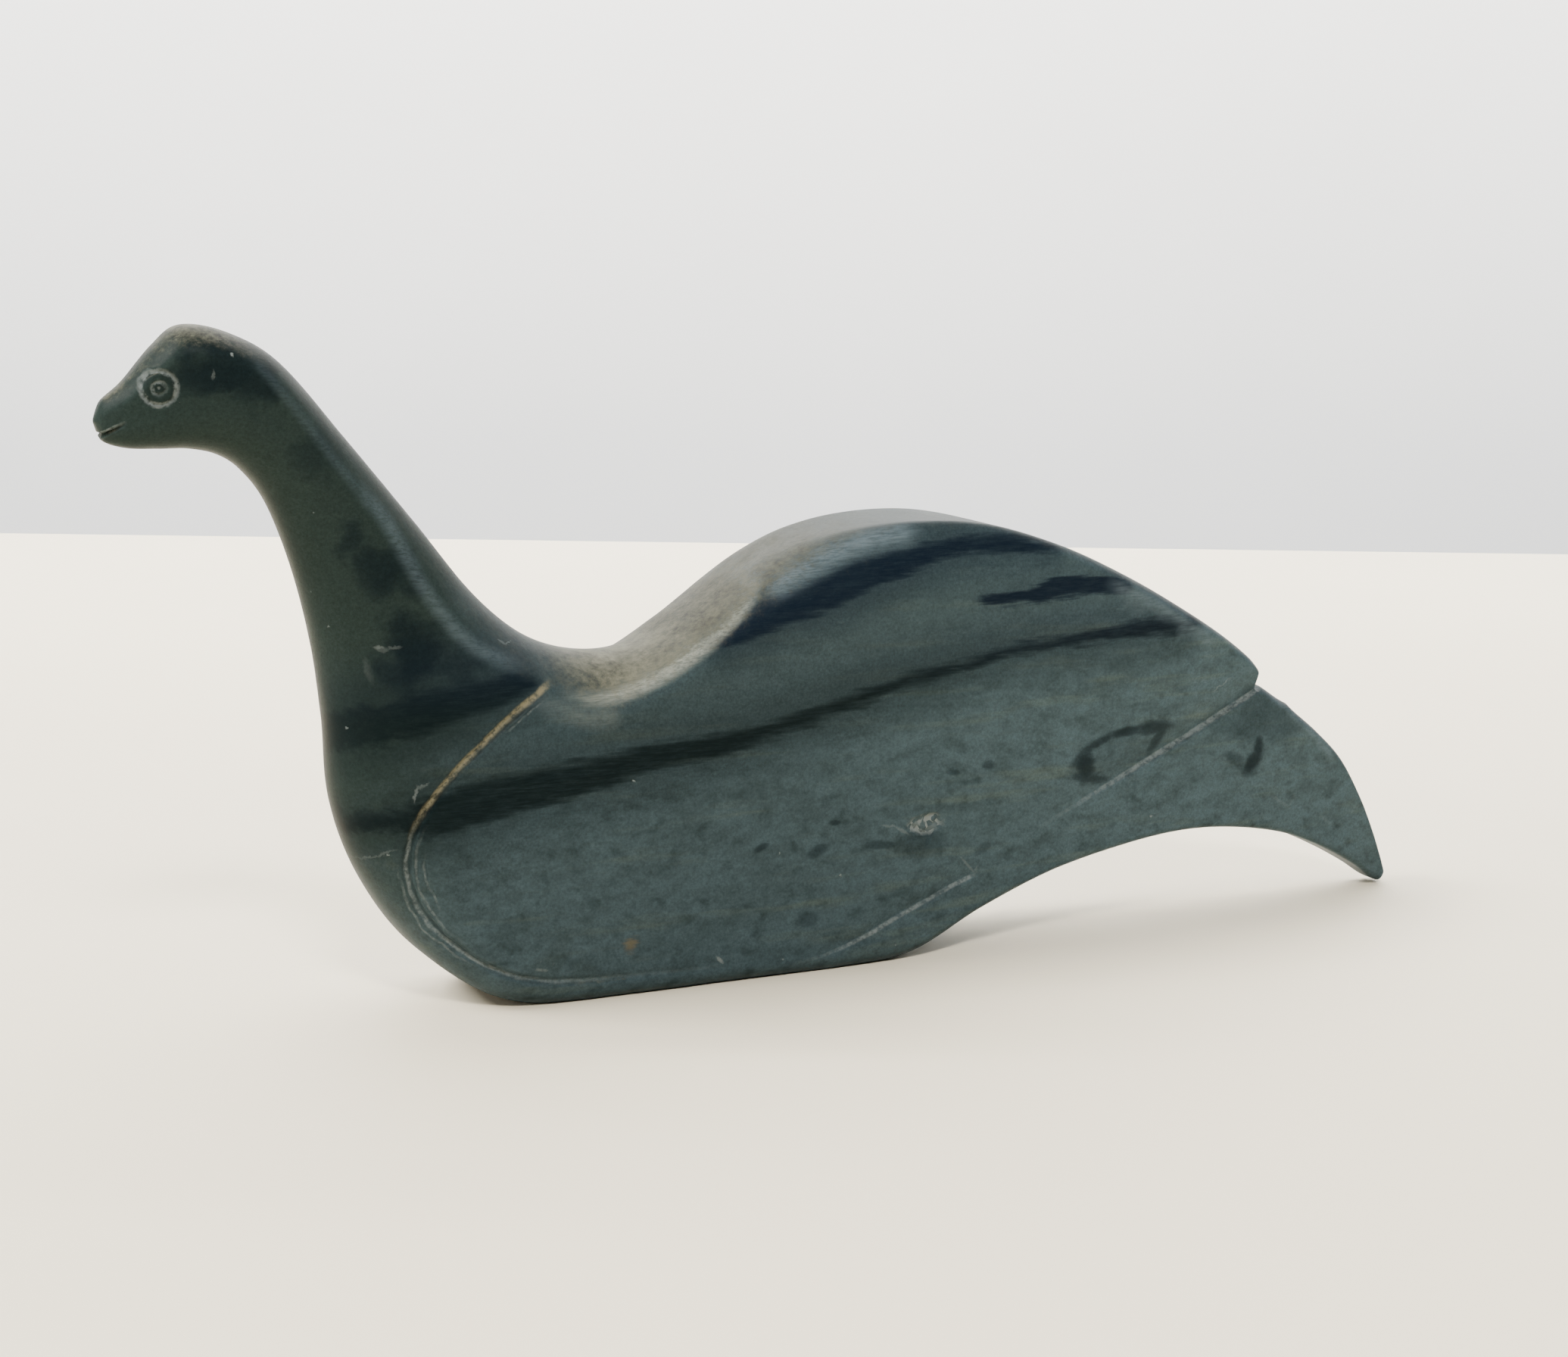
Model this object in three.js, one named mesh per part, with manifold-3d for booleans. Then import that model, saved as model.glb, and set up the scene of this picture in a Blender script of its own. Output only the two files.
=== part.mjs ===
// Soapstone bird: a long-necked water bird carved in one piece from a slab of dark green-grey stone.
//
// Frame: millimetres, +Z up, the beak towards -X and the tail towards +X, the flat flanks facing -Y and +Y.
// The origin is under the middle of the bird, on the plane that its flat belly rests on.
//
// The form is a row of ribs. Each rib runs from the belly line up to the back line, and a rounded section is
// drawn round it. The grooves that draw the wings, the legs and the tail, the eyes and the mouth are then cut
// into both flanks.

import * as THREE from 'three';
import { mergeVertices } from 'three/addons/utils/BufferGeometryUtils.js';
import Module from 'manifold-3d';

const wasm = await Module();
wasm.setup();

// ---------------------------------------------------------------------------------------------------------
// Driving dimensions
// ---------------------------------------------------------------------------------------------------------

const THICKNESS = 20;          // across the flanks at the hump, the full thickness of the slab

// Each rib is [back x, back z, belly x, belly z].
const RIBS = {
  beakFront: [-85.4, 69.3, -85.3, 67.9],
  beak: [-84.4, 70.9, -84.4, 66.4],
  bill: [-82.0, 72.9, -82.0, 65.6],
  forehead: [-78.6, 76.7, -78.6, 65.4],
  crownFront: [-75.6, 78.8, -75.4, 65.3],
  crown: [-70.6, 77.9, -72.2, 64.5],
  nape: [-65.0, 74.5, -69.5, 62.6],
  neckTop: [-58.1, 66.2, -66.8, 58.8],
  neck: [-50.5, 56.7, -64.2, 51.5],
  neckBase: [-43.2, 47.4, -62.3, 43.0],
  shoulder: [-36.8, 42.1, -61.2, 34.0],
  saddle: [-29.8, 39.9, -60.5, 24.0],
  saddleBack: [-22.6, 40.5, -57.1, 14.5],
  rise: [-15.4, 44.8, -51.0, 6.1],
  humpFront: [-7.6, 50.1, -41.5, 0.3],
  hump: [0.8, 52.9, -27.0, -0.3],
  humpTop: [10.5, 53.9, -12.0, -0.3],
  back: [20.0, 53.1, 0.0, -0.3],
  backSlope: [30.5, 49.9, 9.5, 0.5],
  wing: [40.0, 45.6, 19.2, 4.8],
  wingMiddle: [48.5, 41.0, 29.5, 8.4],
  wingRear: [56.0, 36.4, 40.5, 10.6],
  wingEnd: [61.6, 32.0, 49.5, 11.5],
  tailRoot: [66.3, 26.9, 57.5, 11.1],
  tail: [71.5, 22.8, 65.5, 9.6],
  tailMiddle: [75.9, 18.7, 71.5, 7.4],
  tailRear: [79.6, 13.3, 76.5, 5.0],
  tailEnd: [82.4, 8.3, 80.3, 2.8],
  tailTip: [84.4, 4.1, 83.0, 0.9],
  tailPoint: [85.6, 1.2, 84.8, 0.1],
};

// Thickness along the back line: [back x, share of THICKNESS].
const THICKNESS_SHARES = [
  [-86.5, 0.08], [-82, 0.34], [-76, 0.52], [-66, 0.58], [-52, 0.63], [-40, 0.75], [-28, 0.9],
  [-12, 0.99], [8, 1], [28, 0.95], [44, 0.84], [58, 0.69], [70, 0.52], [80, 0.34], [86.5, 0.14],
];

// Height of the rounding between each flank and the back: [back x, height].
const BACK_ROUNDING = [
  [-86.5, 1], [-80, 2.2], [-72, 2.6], [-64, 2.7], [-57, 3.4], [-44, 5], [-34, 6.6], [-26, 6.8],
  [-18, 5.2], [-10, 3.4], [-2, 2], [8, 1.3], [24, 1], [60, 0.9], [86.5, 0.6],
];

// Height of the rounding between each flank and the throat, breast or belly: [back x, height].
const BELLY_ROUNDING = [
  [-86.5, 1], [-80, 2.6], [-70, 4.2], [-58, 5.4], [-44, 7.4], [-32, 9.6], [-24, 9],
  [-17, 6], [-8, 2.6], [10, 2], [34, 1.6], [60, 0.9], [86.5, 0.6],
];

const BACK_SPREAD = 2.6;       // width of the back's rounding for each millimetre of its height
const BELLY_SPREAD = 1.5;      // the same for the belly's rounding
const RIDGE_WIDTH = 0.3;       // least half width of the ridge and of the keel
const RIDGE_SHARE = 0.9;       // the most that they take of the section's half width
const ROUNDED_SHARE = 0.96;    // the most of a rib's length that its two roundings take together
const BACK_FULLNESS = 0.6;     // how far the back's curve swells towards its corner, from 0 to 1
const BELLY_FULLNESS = 0.8;

// The top of each flank leans inwards beside the hump.
const LEAN = { inward: 2, height: 10, centre: 2, reach: 38 };

// The wing ends above the tail in a step: from the wing tip the back line drops, then meets the tail. The
// step itself takes a very short stretch of the bird's length, given as a share of the whole.
const WING_TIP = { x: 61.9, step: 1.9, tailMeets: 66.3, stepLength: 0.0008 };

// Grooves on a flank: [x, z] points, the cut's depth, how far its upper and lower walls reach, and the
// shares of its length over which it fades in at its start and out at its end.
const WING_GROOVE = {
  path: [[-36, 38], [-41, 34.6], [-45.5, 31], [-50, 26.8], [-53, 22.6], [-54, 18], [-53, 13.6], [-50, 9.2],
    [-45, 5.4], [-39, 3.3], [-33, 2.7]],
  depth: 0.6,
  upper: 0.65,
  lower: 0.65,
  fades: [0.15, 0.25],
};
const TAIL_GROOVE = {
  path: [[75, 36.2], [57, 27.8], [51, 25], [45, 22.4], [39, 19.8], [33, 17.3], [26.5, 14.6]],
  depth: 0.7,
  upper: 0.45,
  lower: 3.6,
  fades: [0, 0.4],
};
const LEG_GROOVE = {
  path: [[18.2, 10], [13, 8.1], [7.5, 5.9], [2.5, 3.8], [-2.5, 2.3], [-7, 1.7]],
  depth: 0.5,
  upper: 0.4,
  lower: 2.4,
  fades: [0.15, 0.4],
};
const MOUTH_GROOVE = {
  path: [[-85.6, 66.7], [-84.4, 67.4], [-83.2, 68.1], [-82.2, 68.6]],
  depth: 0.3,
  upper: 0.3,
  lower: 0.3,
  fades: [0, 0.3],
};
const MOUTH_NOTCH = { x: -84.4, z: 66.9, opening: 0.5, length: 3 };
const EYE = { x: -79.1, z: 72.2, outerRadius: 1.95, outerCut: 0.34, innerRadius: 0.6, innerCut: 0.24 };

const CUT_CLEARANCE = 0.6;     // how far a cutter stands out of the stone
const NORMAL_SPAN = 0.8;       // half the span over which a flank's slope is read
const STEEPEST_FLANK = 1.5;    // the steepest slope that still belongs to a flank
const GROUND_BLOCK = 400;      // side of the block that trims the belly flat

const STONE = { colour: 0x3f4c4b, roughness: 0.48, metalness: 0 };

// How finely the curves are faceted.
const STATIONS_PER_RIB = 3;
const ROUNDING_STEPS = 4;
const FLANK_STEPS = 5;
const GROOVE_STEPS_PER_POINT = 3;
const EYE_SEGMENTS = 24;
const EYE_SIDES = 5;

// ---------------------------------------------------------------------------------------------------------
// Lines and profiles
// ---------------------------------------------------------------------------------------------------------

function spline(points) {
  return new THREE.SplineCurve(points.map(([x, z]) => new THREE.Vector2(x, z)));
}

function profile(knots) {
  const positions = knots.map(([x]) => x);
  const values = knots.map(([, value]) => value);
  const cubic = new THREE.CubicInterpolant(positions, values, 1);
  const [first, last] = [positions[0], positions[positions.length - 1]];
  return (x) => cubic.evaluate(THREE.MathUtils.clamp(x, first, last))[0];
}

const ribs = Object.values(RIBS);
const backLine = spline(ribs.map(([x, z]) => [x, z]));
const bellyLine = spline(ribs.map(([, , x, z]) => [x, z]));
const thicknessShare = profile(THICKNESS_SHARES);
const backRounding = profile(BACK_ROUNDING);
const bellyRounding = profile(BELLY_ROUNDING);

// The station whose back point has the given x, found by halving: x grows all along the back.
function stationAtBackX(x) {
  let [low, high] = [0, 1];
  for (let i = 0; i < 40; i += 1) {
    const middle = (low + high) / 2;
    if (backLine.getPoint(middle).x < x) low = middle;
    else high = middle;
  }
  return low;
}

// How far the back line drops behind the wing tip: a step, then an even run out to the tail.
function dropAt(backX, pastTip) {
  if (!pastTip || backX > WING_TIP.tailMeets) return 0;
  return WING_TIP.step * (WING_TIP.tailMeets - backX) / (WING_TIP.tailMeets - WING_TIP.x);
}

// ---------------------------------------------------------------------------------------------------------
// Sections
// ---------------------------------------------------------------------------------------------------------

function rounding(fromY, fromV, cornerY, cornerV, toY, toV) {
  const curve = new THREE.QuadraticBezierCurve(
    new THREE.Vector2(fromY, fromV),
    new THREE.Vector2(cornerY, cornerV),
    new THREE.Vector2(toY, toV),
  );
  return curve.getPoints(ROUNDING_STEPS);
}

// Half of a section as (distance from the middle plane, height along the rib), from ridge to keel.
function halfSection(halfHeight, backX) {
  const halfWidth = thicknessShare(backX) * THICKNESS / 2;
  const rounded = backRounding(backX) + bellyRounding(backX);
  const fit = Math.min(1, 2 * ROUNDED_SHARE * halfHeight / rounded);
  const back = fit * backRounding(backX);
  const belly = fit * bellyRounding(backX);
  const backEdge = halfHeight - back;
  const bellyEdge = belly - halfHeight;
  const inward = LEAN.inward * Math.max(0, 1 - ((backX - LEAN.centre) / LEAN.reach) ** 2);
  const flank = (v) => {
    const rise = Math.max(0, (v - backEdge + LEAN.height) / LEAN.height);
    return halfWidth - inward * rise * rise;
  };
  const top = flank(backEdge);
  const bottom = flank(bellyEdge);
  const ridge = THREE.MathUtils.clamp(halfWidth - BACK_SPREAD * back, RIDGE_WIDTH, RIDGE_SHARE * top);
  const keel = THREE.MathUtils.clamp(halfWidth - BELLY_SPREAD * belly, RIDGE_WIDTH, RIDGE_SHARE * bottom);
  const backCorner = THREE.MathUtils.lerp(ridge, top, BACK_FULLNESS);
  const bellyCorner = THREE.MathUtils.lerp(keel, bottom, BELLY_FULLNESS);
  const points = [
    new THREE.Vector2(0, halfHeight),
    ...rounding(ridge, halfHeight, backCorner, halfHeight, top, backEdge),
  ];
  for (let i = 1; i < FLANK_STEPS; i += 1) {
    const v = THREE.MathUtils.lerp(backEdge, bellyEdge, i / FLANK_STEPS);
    points.push(new THREE.Vector2(flank(v), v));
  }
  points.push(...rounding(bottom, bellyEdge, bellyCorner, -halfHeight, keel, -halfHeight));
  points.push(new THREE.Vector2(0, -halfHeight));
  return points;
}

// A closed section round the rib at station t, from the ridge down the -Y flank and back up the +Y flank.
function sectionAt(t, pastTip) {
  const backFull = backLine.getPoint(t);
  const belly = bellyLine.getPoint(t);
  const along = backFull.clone().sub(belly).normalize();
  const back = backFull.clone().addScaledVector(along, -dropAt(backFull.x, pastTip));
  const middle = back.clone().add(belly).multiplyScalar(0.5);
  const half = halfSection(back.distanceTo(belly) / 2, backFull.x);
  const place = (y, v) => new THREE.Vector3(middle.x + along.x * v, y, middle.y + along.y * v);
  const near = half.map((p) => place(-p.x, p.y));
  const far = half.slice(1, -1).reverse().map((p) => place(p.x, p.y));
  return [...near, ...far];
}

// ---------------------------------------------------------------------------------------------------------
// Solids
// ---------------------------------------------------------------------------------------------------------

// A closed skin over rings of equally many points, with a fan of faces over the first and the last ring.
function skin(rings) {
  const count = rings[0].length;
  const points = rings.flat();
  const faces = [];
  for (let ring = 0; ring < rings.length - 1; ring += 1) {
    for (let i = 0; i < count; i += 1) {
      const [a, b] = [ring * count + i, ring * count + (i + 1) % count];
      faces.push(a, b, b + count, a, b + count, a + count);
    }
  }
  for (const [ring, outwards] of [[rings[0], false], [rings[rings.length - 1], true]]) {
    const start = outwards ? (rings.length - 1) * count : 0;
    const centre = ring.reduce((sum, p) => sum.add(p), new THREE.Vector3()).divideScalar(count);
    const hub = points.push(centre) - 1;
    for (let i = 0; i < count; i += 1) {
      const [a, b] = [start + i, start + (i + 1) % count];
      faces.push(hub, outwards ? a : b, outwards ? b : a);
    }
  }
  const geometry = new THREE.BufferGeometry().setFromPoints(points);
  geometry.setIndex(faces);
  return geometry;
}

function mirrored(geometry) {
  const copy = geometry.clone().scale(1, -1, 1);
  const index = copy.index.array;
  for (let i = 0; i < index.length; i += 3) [index[i], index[i + 1]] = [index[i + 1], index[i]];
  return copy;
}

function toSolid(geometry) {
  const bare = geometry.clone();
  bare.deleteAttribute('normal');
  bare.deleteAttribute('uv');
  const merged = mergeVertices(bare);
  return new wasm.Manifold(new wasm.Mesh({
    numProp: 3,
    vertProperties: new Float32Array(merged.attributes.position.array),
    triVerts: new Uint32Array(merged.index.array),
  }));
}

function toGeometry(solid) {
  const mesh = solid.getMesh();
  const geometry = new THREE.BufferGeometry();
  geometry.setAttribute('position', new THREE.BufferAttribute(mesh.vertProperties, 3));
  geometry.setIndex(new THREE.BufferAttribute(mesh.triVerts, 1));
  return geometry;
}

// The uncarved bird.
function blank() {
  const tip = stationAtBackX(WING_TIP.x);
  const steps = (ribs.length - 1) * STATIONS_PER_RIB;
  const stations = Array.from({ length: steps + 1 }, (_, i) => i / steps);
  const before = stations.filter((t) => t < tip).map((t) => sectionAt(t, false));
  const foot = tip + WING_TIP.stepLength;
  const after = stations.filter((t) => t > foot).map((t) => sectionAt(t, true));
  return skin([...before, sectionAt(tip, false), sectionAt(foot, true), ...after]);
}

// ---------------------------------------------------------------------------------------------------------
// Cuts
// ---------------------------------------------------------------------------------------------------------

const blankGeometry = blank();
const target = new THREE.Mesh(blankGeometry, new THREE.MeshBasicMaterial({ side: THREE.DoubleSide }));

// Where the -Y flank lies at (x, z), as a distance along Y, or null past the outline.
function flankY(x, z) {
  const ray = new THREE.Raycaster(new THREE.Vector3(x, -2 * THICKNESS, z), new THREE.Vector3(0, 1, 0));
  const [hit] = ray.intersectObject(target);
  return hit ? hit.point.y : null;
}

// A point on the -Y flank with its outward normal, read over a short span so that it runs smoothly. Past
// the outline the flank is taken to go on at the bird's thickness there, and a reading that falls over the
// edge of the flank counts as none.
function onFlank(x, z) {
  const y = flankY(x, z) ?? -thicknessShare(x) * THICKNESS / 2;
  const slope = (dx, dz) => {
    const [ahead, behind] = [flankY(x + dx, z + dz), flankY(x - dx, z - dz)];
    const fall = ahead === null || behind === null ? Infinity : (ahead - behind) / (2 * NORMAL_SPAN);
    return Math.abs(fall) > STEEPEST_FLANK ? 0 : fall;
  };
  const normal = new THREE.Vector3(slope(NORMAL_SPAN, 0), -1, slope(0, NORMAL_SPAN)).normalize();
  return { point: new THREE.Vector3(x, y, z), normal };
}

// How much of a groove's depth is reached at a share t of its length.
function fadeAt(t, [fadeIn, fadeOut]) {
  const start = fadeIn > 0 ? THREE.MathUtils.smoothstep(t, 0, fadeIn) : 1;
  const end = fadeOut > 0 ? THREE.MathUtils.smoothstep(1 - t, 0, fadeOut) : 1;
  return start * end;
}

// A three-sided cutter that runs along a groove and rises out of the stone where the groove fades.
function grooveCutter({ path, depth, upper, lower, fades }) {
  const curve = spline(path);
  const steps = (path.length - 1) * GROOVE_STEPS_PER_POINT;
  const flare = (depth + CUT_CLEARANCE) / depth;
  const rings = [];
  for (let i = 0; i <= steps; i += 1) {
    const t = i / steps;
    const at = curve.getPoint(t);
    const heading = curve.getTangent(t);
    const { point, normal } = onFlank(at.x, at.y);
    const along = new THREE.Vector3(heading.x, 0, heading.y);
    along.addScaledVector(normal, -along.dot(normal)).normalize();
    const down = normal.clone().cross(along);
    const lift = depth * (1 - fadeAt(t, fades));
    const corner = (across, rise) => point.clone()
      .addScaledVector(down, across)
      .addScaledVector(normal, rise);
    rings.push([
      corner(0, lift - depth),
      corner(lower * flare, lift + CUT_CLEARANCE),
      corner(-upper * flare, lift + CUT_CLEARANCE),
    ]);
  }
  return skin(rings);
}

// A ring cut for an eye, laid flat on the flank.
function eyeCutter(radius, cut) {
  const { point, normal } = onFlank(EYE.x, EYE.z);
  const ring = new THREE.TorusGeometry(radius, cut, EYE_SIDES, EYE_SEGMENTS);
  ring.applyQuaternion(new THREE.Quaternion().setFromUnitVectors(new THREE.Vector3(0, 0, 1), normal));
  ring.translate(point.x, point.y, point.z);
  return ring;
}

// The parting of the bill, a wedge that runs right across its front.
function mouthCutter() {
  const { x, z, opening, length } = MOUTH_NOTCH;
  const wedge = new THREE.Shape();
  wedge.moveTo(x, z);
  wedge.lineTo(x - length, z - opening * length);
  wedge.lineTo(x - length, z);
  wedge.closePath();
  const cut = new THREE.ExtrudeGeometry(wedge, { depth: THICKNESS, bevelEnabled: false });
  cut.rotateX(Math.PI / 2);
  cut.translate(0, THICKNESS / 2, 0);
  return cut;
}

// Everything below the plane that the belly rests on.
function groundCutter() {
  return new THREE.BoxGeometry(GROUND_BLOCK, GROUND_BLOCK, GROUND_BLOCK).translate(0, 0, -GROUND_BLOCK / 2);
}

function carve() {
  const flankCuts = [
    grooveCutter(WING_GROOVE),
    grooveCutter(TAIL_GROOVE),
    grooveCutter(LEG_GROOVE),
    grooveCutter(MOUTH_GROOVE),
    eyeCutter(EYE.outerRadius, EYE.outerCut),
    eyeCutter(EYE.innerRadius, EYE.innerCut),
  ];
  let stone = toSolid(blankGeometry).subtract(toSolid(groundCutter()));
  for (const cut of flankCuts) {
    stone = stone.subtract(toSolid(cut)).subtract(toSolid(mirrored(cut)));
  }
  return toGeometry(stone.subtract(toSolid(mouthCutter())));
}

// ---------------------------------------------------------------------------------------------------------
// The bird
// ---------------------------------------------------------------------------------------------------------

function soapstone() {
  return new THREE.MeshStandardMaterial({
    color: STONE.colour,
    roughness: STONE.roughness,
    metalness: STONE.metalness,
  });
}

const bird = new THREE.Mesh(carve(), soapstone());
bird.name = 'bird';

const carving = new THREE.Group();
carving.name = 'soapstone_bird';
carving.add(bird);

export default carving;
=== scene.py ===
"""Looks of the soapstone bird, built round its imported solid.

The bird is one carved piece of stone. BirdForm lofts its smooth skin from the solid's own ribs and profiles,
CarvedLine measures how far each point lies from a line carved in the flanks, Carving cuts those lines, the
eyes and the chip with Geometry Nodes, and Soapstone dresses the result. Studio and Viewpoint show it.

Lengths are in millimetres until a mesh is made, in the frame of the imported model.
"""

import logging
import math
from dataclasses import dataclass, field
from enum import Enum

import bpy
import numpy as np
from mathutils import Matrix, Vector

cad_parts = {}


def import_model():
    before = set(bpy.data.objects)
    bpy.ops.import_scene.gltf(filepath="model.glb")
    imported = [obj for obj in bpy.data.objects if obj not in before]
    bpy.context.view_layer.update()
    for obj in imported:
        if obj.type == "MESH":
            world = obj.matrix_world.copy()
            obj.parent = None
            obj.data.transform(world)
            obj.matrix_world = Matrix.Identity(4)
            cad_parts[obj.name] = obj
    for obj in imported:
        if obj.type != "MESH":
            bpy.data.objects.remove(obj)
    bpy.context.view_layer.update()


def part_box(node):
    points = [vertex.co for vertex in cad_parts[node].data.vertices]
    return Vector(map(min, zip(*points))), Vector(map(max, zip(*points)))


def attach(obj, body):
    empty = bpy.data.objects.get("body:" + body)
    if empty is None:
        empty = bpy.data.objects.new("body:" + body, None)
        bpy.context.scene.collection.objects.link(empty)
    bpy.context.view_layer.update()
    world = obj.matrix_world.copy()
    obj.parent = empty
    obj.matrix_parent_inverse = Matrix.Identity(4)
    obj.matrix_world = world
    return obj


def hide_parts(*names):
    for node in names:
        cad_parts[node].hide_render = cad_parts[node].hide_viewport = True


LOG = logging.getLogger("soapstone_bird")
MM = 0.001
NODE = "bird"
BODY = "root"
SLOT = "soapstone"
# How far from a line on the flanks points are still measured, in millimetres, and the share of its length beyond that.
REACH = 6.0
BEYOND = -3.0
STEPS_PER_KNOT = 8
POINTS_AT_ONCE = 20_000
LINE_STEPS = 12_000
ROUNDING_STEPS = 40
BEDDING_TILT = math.radians(10)

Point = tuple[float, float]
Knots = tuple[Point, ...]
Colour = tuple[float, float, float]

# Each rib is (back x, back z, belly x, belly z), as in the solid.
RIBS: dict[str, tuple[float, float, float, float]] = {
    "beak_front": (-85.4, 69.3, -85.3, 67.9),
    "beak": (-84.4, 70.9, -84.4, 66.4),
    "bill": (-82.0, 72.9, -82.0, 65.6),
    "forehead": (-78.6, 76.7, -78.6, 65.4),
    "crown_front": (-75.6, 78.8, -75.4, 65.3),
    "crown": (-70.6, 77.9, -72.2, 64.5),
    "nape": (-65.0, 74.5, -69.5, 62.6),
    "neck_top": (-58.1, 66.2, -66.8, 58.8),
    "neck": (-50.5, 56.7, -64.2, 51.5),
    "neck_base": (-43.2, 47.4, -62.3, 43.0),
    "shoulder": (-36.8, 42.1, -61.2, 34.0),
    "saddle": (-29.8, 39.9, -60.5, 24.0),
    "saddle_back": (-22.6, 40.5, -57.1, 14.5),
    "rise": (-15.4, 44.8, -51.0, 6.1),
    "hump_front": (-7.6, 50.1, -41.5, 0.3),
    "hump": (0.8, 52.9, -27.0, -0.3),
    "hump_top": (10.5, 53.9, -12.0, -0.3),
    "back": (20.0, 53.1, 0.0, -0.3),
    "back_slope": (30.5, 49.9, 9.5, 0.5),
    "wing": (40.0, 45.6, 19.2, 4.8),
    "wing_middle": (48.5, 41.0, 29.5, 8.4),
    "wing_rear": (56.0, 36.4, 40.5, 10.6),
    "wing_end": (61.6, 32.0, 49.5, 11.5),
    "tail_root": (66.3, 26.9, 57.5, 11.1),
    "tail": (71.5, 22.8, 65.5, 9.6),
    "tail_middle": (75.9, 18.7, 71.5, 7.4),
    "tail_rear": (79.6, 13.3, 76.5, 5.0),
    "tail_end": (82.4, 8.3, 80.3, 2.8),
    "tail_tip": (84.4, 4.1, 83.0, 0.9),
    "tail_point": (85.6, 1.2, 84.8, 0.1),
}

# Profiles along the back line, each knot (back x, value).
THICKNESS_SHARES: Knots = (
    (-86.5, 0.08), (-82, 0.34), (-76, 0.52), (-66, 0.58), (-52, 0.63), (-40, 0.75), (-28, 0.9), (-12, 0.99),
    (8, 1), (28, 0.95), (44, 0.84), (58, 0.69), (70, 0.52), (80, 0.34), (86.5, 0.14),
)
BACK_ROUNDING: Knots = (
    (-86.5, 1), (-80, 2.2), (-72, 2.6), (-64, 2.7), (-57, 3.4), (-44, 5), (-34, 6.6), (-26, 6.8), (-18, 5.2),
    (-10, 3.4), (-2, 2), (8, 1.3), (24, 1), (60, 0.9), (86.5, 0.6),
)
BELLY_ROUNDING: Knots = (
    (-86.5, 1), (-80, 2.6), (-70, 4.2), (-58, 5.4), (-44, 7.4), (-32, 9.6), (-24, 9), (-17, 6), (-8, 2.6),
    (10, 2), (34, 1.6), (60, 0.9), (86.5, 0.6),
)
# How softly the edges of the sections are rubbed down: the spread of a blur, in millimetres.
SOFTNESS: Knots = (
    (-86.5, 0.12), (-83, 0.3), (-76, 0.75), (-66, 0.95), (-50, 1.15), (-34, 1.1), (-20, 0.8), (-6, 0.55),
    (10, 0.38), (60, 0.3), (80, 0.22), (86.5, 0.12),
)


def catmull_rom(points: np.ndarray, t: np.ndarray) -> np.ndarray:
    """Finds places on the even Catmull-Rom curve through some points.

    Args:
        points: The points, one a row.
        t: Places along the curve, from 0 to 1.

    Returns:
        One row for each place.
    """
    last = len(points) - 1
    place = np.clip(t, 0, 1) * last
    i = np.minimum(place.astype(int), last - 1)
    w = (place - i)[:, None]
    p0, p1, p2, p3 = (points[np.clip(i + k, 0, last)] for k in (-1, 0, 1, 2))
    v0, v1 = (p2 - p0) / 2, (p3 - p1) / 2
    cubic = (2 * p1 - 2 * p2 + v0 + v1) * w**3
    return cubic + (-3 * p1 + 3 * p2 - 2 * v0 - v1) * w**2 + v0 * w + p1


def profile(knots: Knots, x: np.ndarray) -> np.ndarray:
    """Reads a smooth profile through its knots.

    Args:
        knots: The profile's (x, value) knots, in order.
        x: Where to read it; past the ends it keeps its last value.

    Returns:
        The value at each x.
    """
    at, value = np.array(knots, float).T
    secant = np.diff(value) / np.diff(at)
    slope = np.concatenate([secant[:1], (secant[:-1] + secant[1:]) / 2, secant[-1:]])
    x = np.clip(x, at[0], at[-1])
    i = np.clip(np.searchsorted(at, x, side="right") - 1, 0, len(at) - 2)
    span = at[i + 1] - at[i]
    w = (x - at[i]) / span
    held = (1 + 2 * w) * (1 - w) ** 2 * value[i] + w**2 * (3 - 2 * w) * value[i + 1]
    return held + w * (1 - w) ** 2 * span * slope[i] + w**2 * (w - 1) * span * slope[i + 1]


def smoothstep(x: np.ndarray, low: float, high: float) -> np.ndarray:
    """A smooth rise from 0 at low to 1 at high."""
    w = np.clip((x - low) / (high - low), 0, 1)
    return w * w * (3 - 2 * w)


def arc_length(points: np.ndarray) -> np.ndarray:
    """The length run up to each point of a line."""
    steps = np.linalg.norm(np.diff(points, axis=0), axis=1)
    return np.concatenate([[0], np.cumsum(steps)])


def linear(code: str) -> Colour:
    """Turns a colour code such as 4c5a58 into linear red, green and blue.

    Args:
        code: Six hexadecimal digits.

    Returns:
        The three channels, from 0 to 1.
    """
    parts = (int(code[i : i + 2], 16) / 255 for i in (0, 2, 4))
    red, green, blue = (c / 12.92 if c <= 0.04045 else ((c + 0.055) / 1.055) ** 2.4 for c in parts)
    return red, green, blue


class Detail(Enum):
    """How finely the bird is made."""

    QUICK = "quick"
    FULL = "full"


@dataclass(frozen=True)
class Density:
    """The counts that one level of detail stands for.

    Attributes:
        stations: Sections along the bird.
        around: Points round each section.
        triangles: How many the finished mesh keeps, or 0 to keep them all.
    """

    stations: int
    around: int
    triangles: int


DENSITIES: dict[Detail, Density] = {
    Detail.QUICK: Density(stations=520, around=320, triangles=0),
    Detail.FULL: Density(stations=980, around=600, triangles=188_000),
}


@dataclass(frozen=True)
class Lean:
    """How the tops of the flanks lean inwards beside the hump."""

    inward: float = 2.0
    height: float = 10.0
    centre: float = 2.0
    reach: float = 38.0


@dataclass(frozen=True)
class WingTip:
    """The step in the back line where the wings end above the tail."""

    x: float = 61.9
    step: float = 1.9
    tail_meets: float = 66.3
    rounds_from: float = 61.3
    rounds_to: float = 62.15


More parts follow.
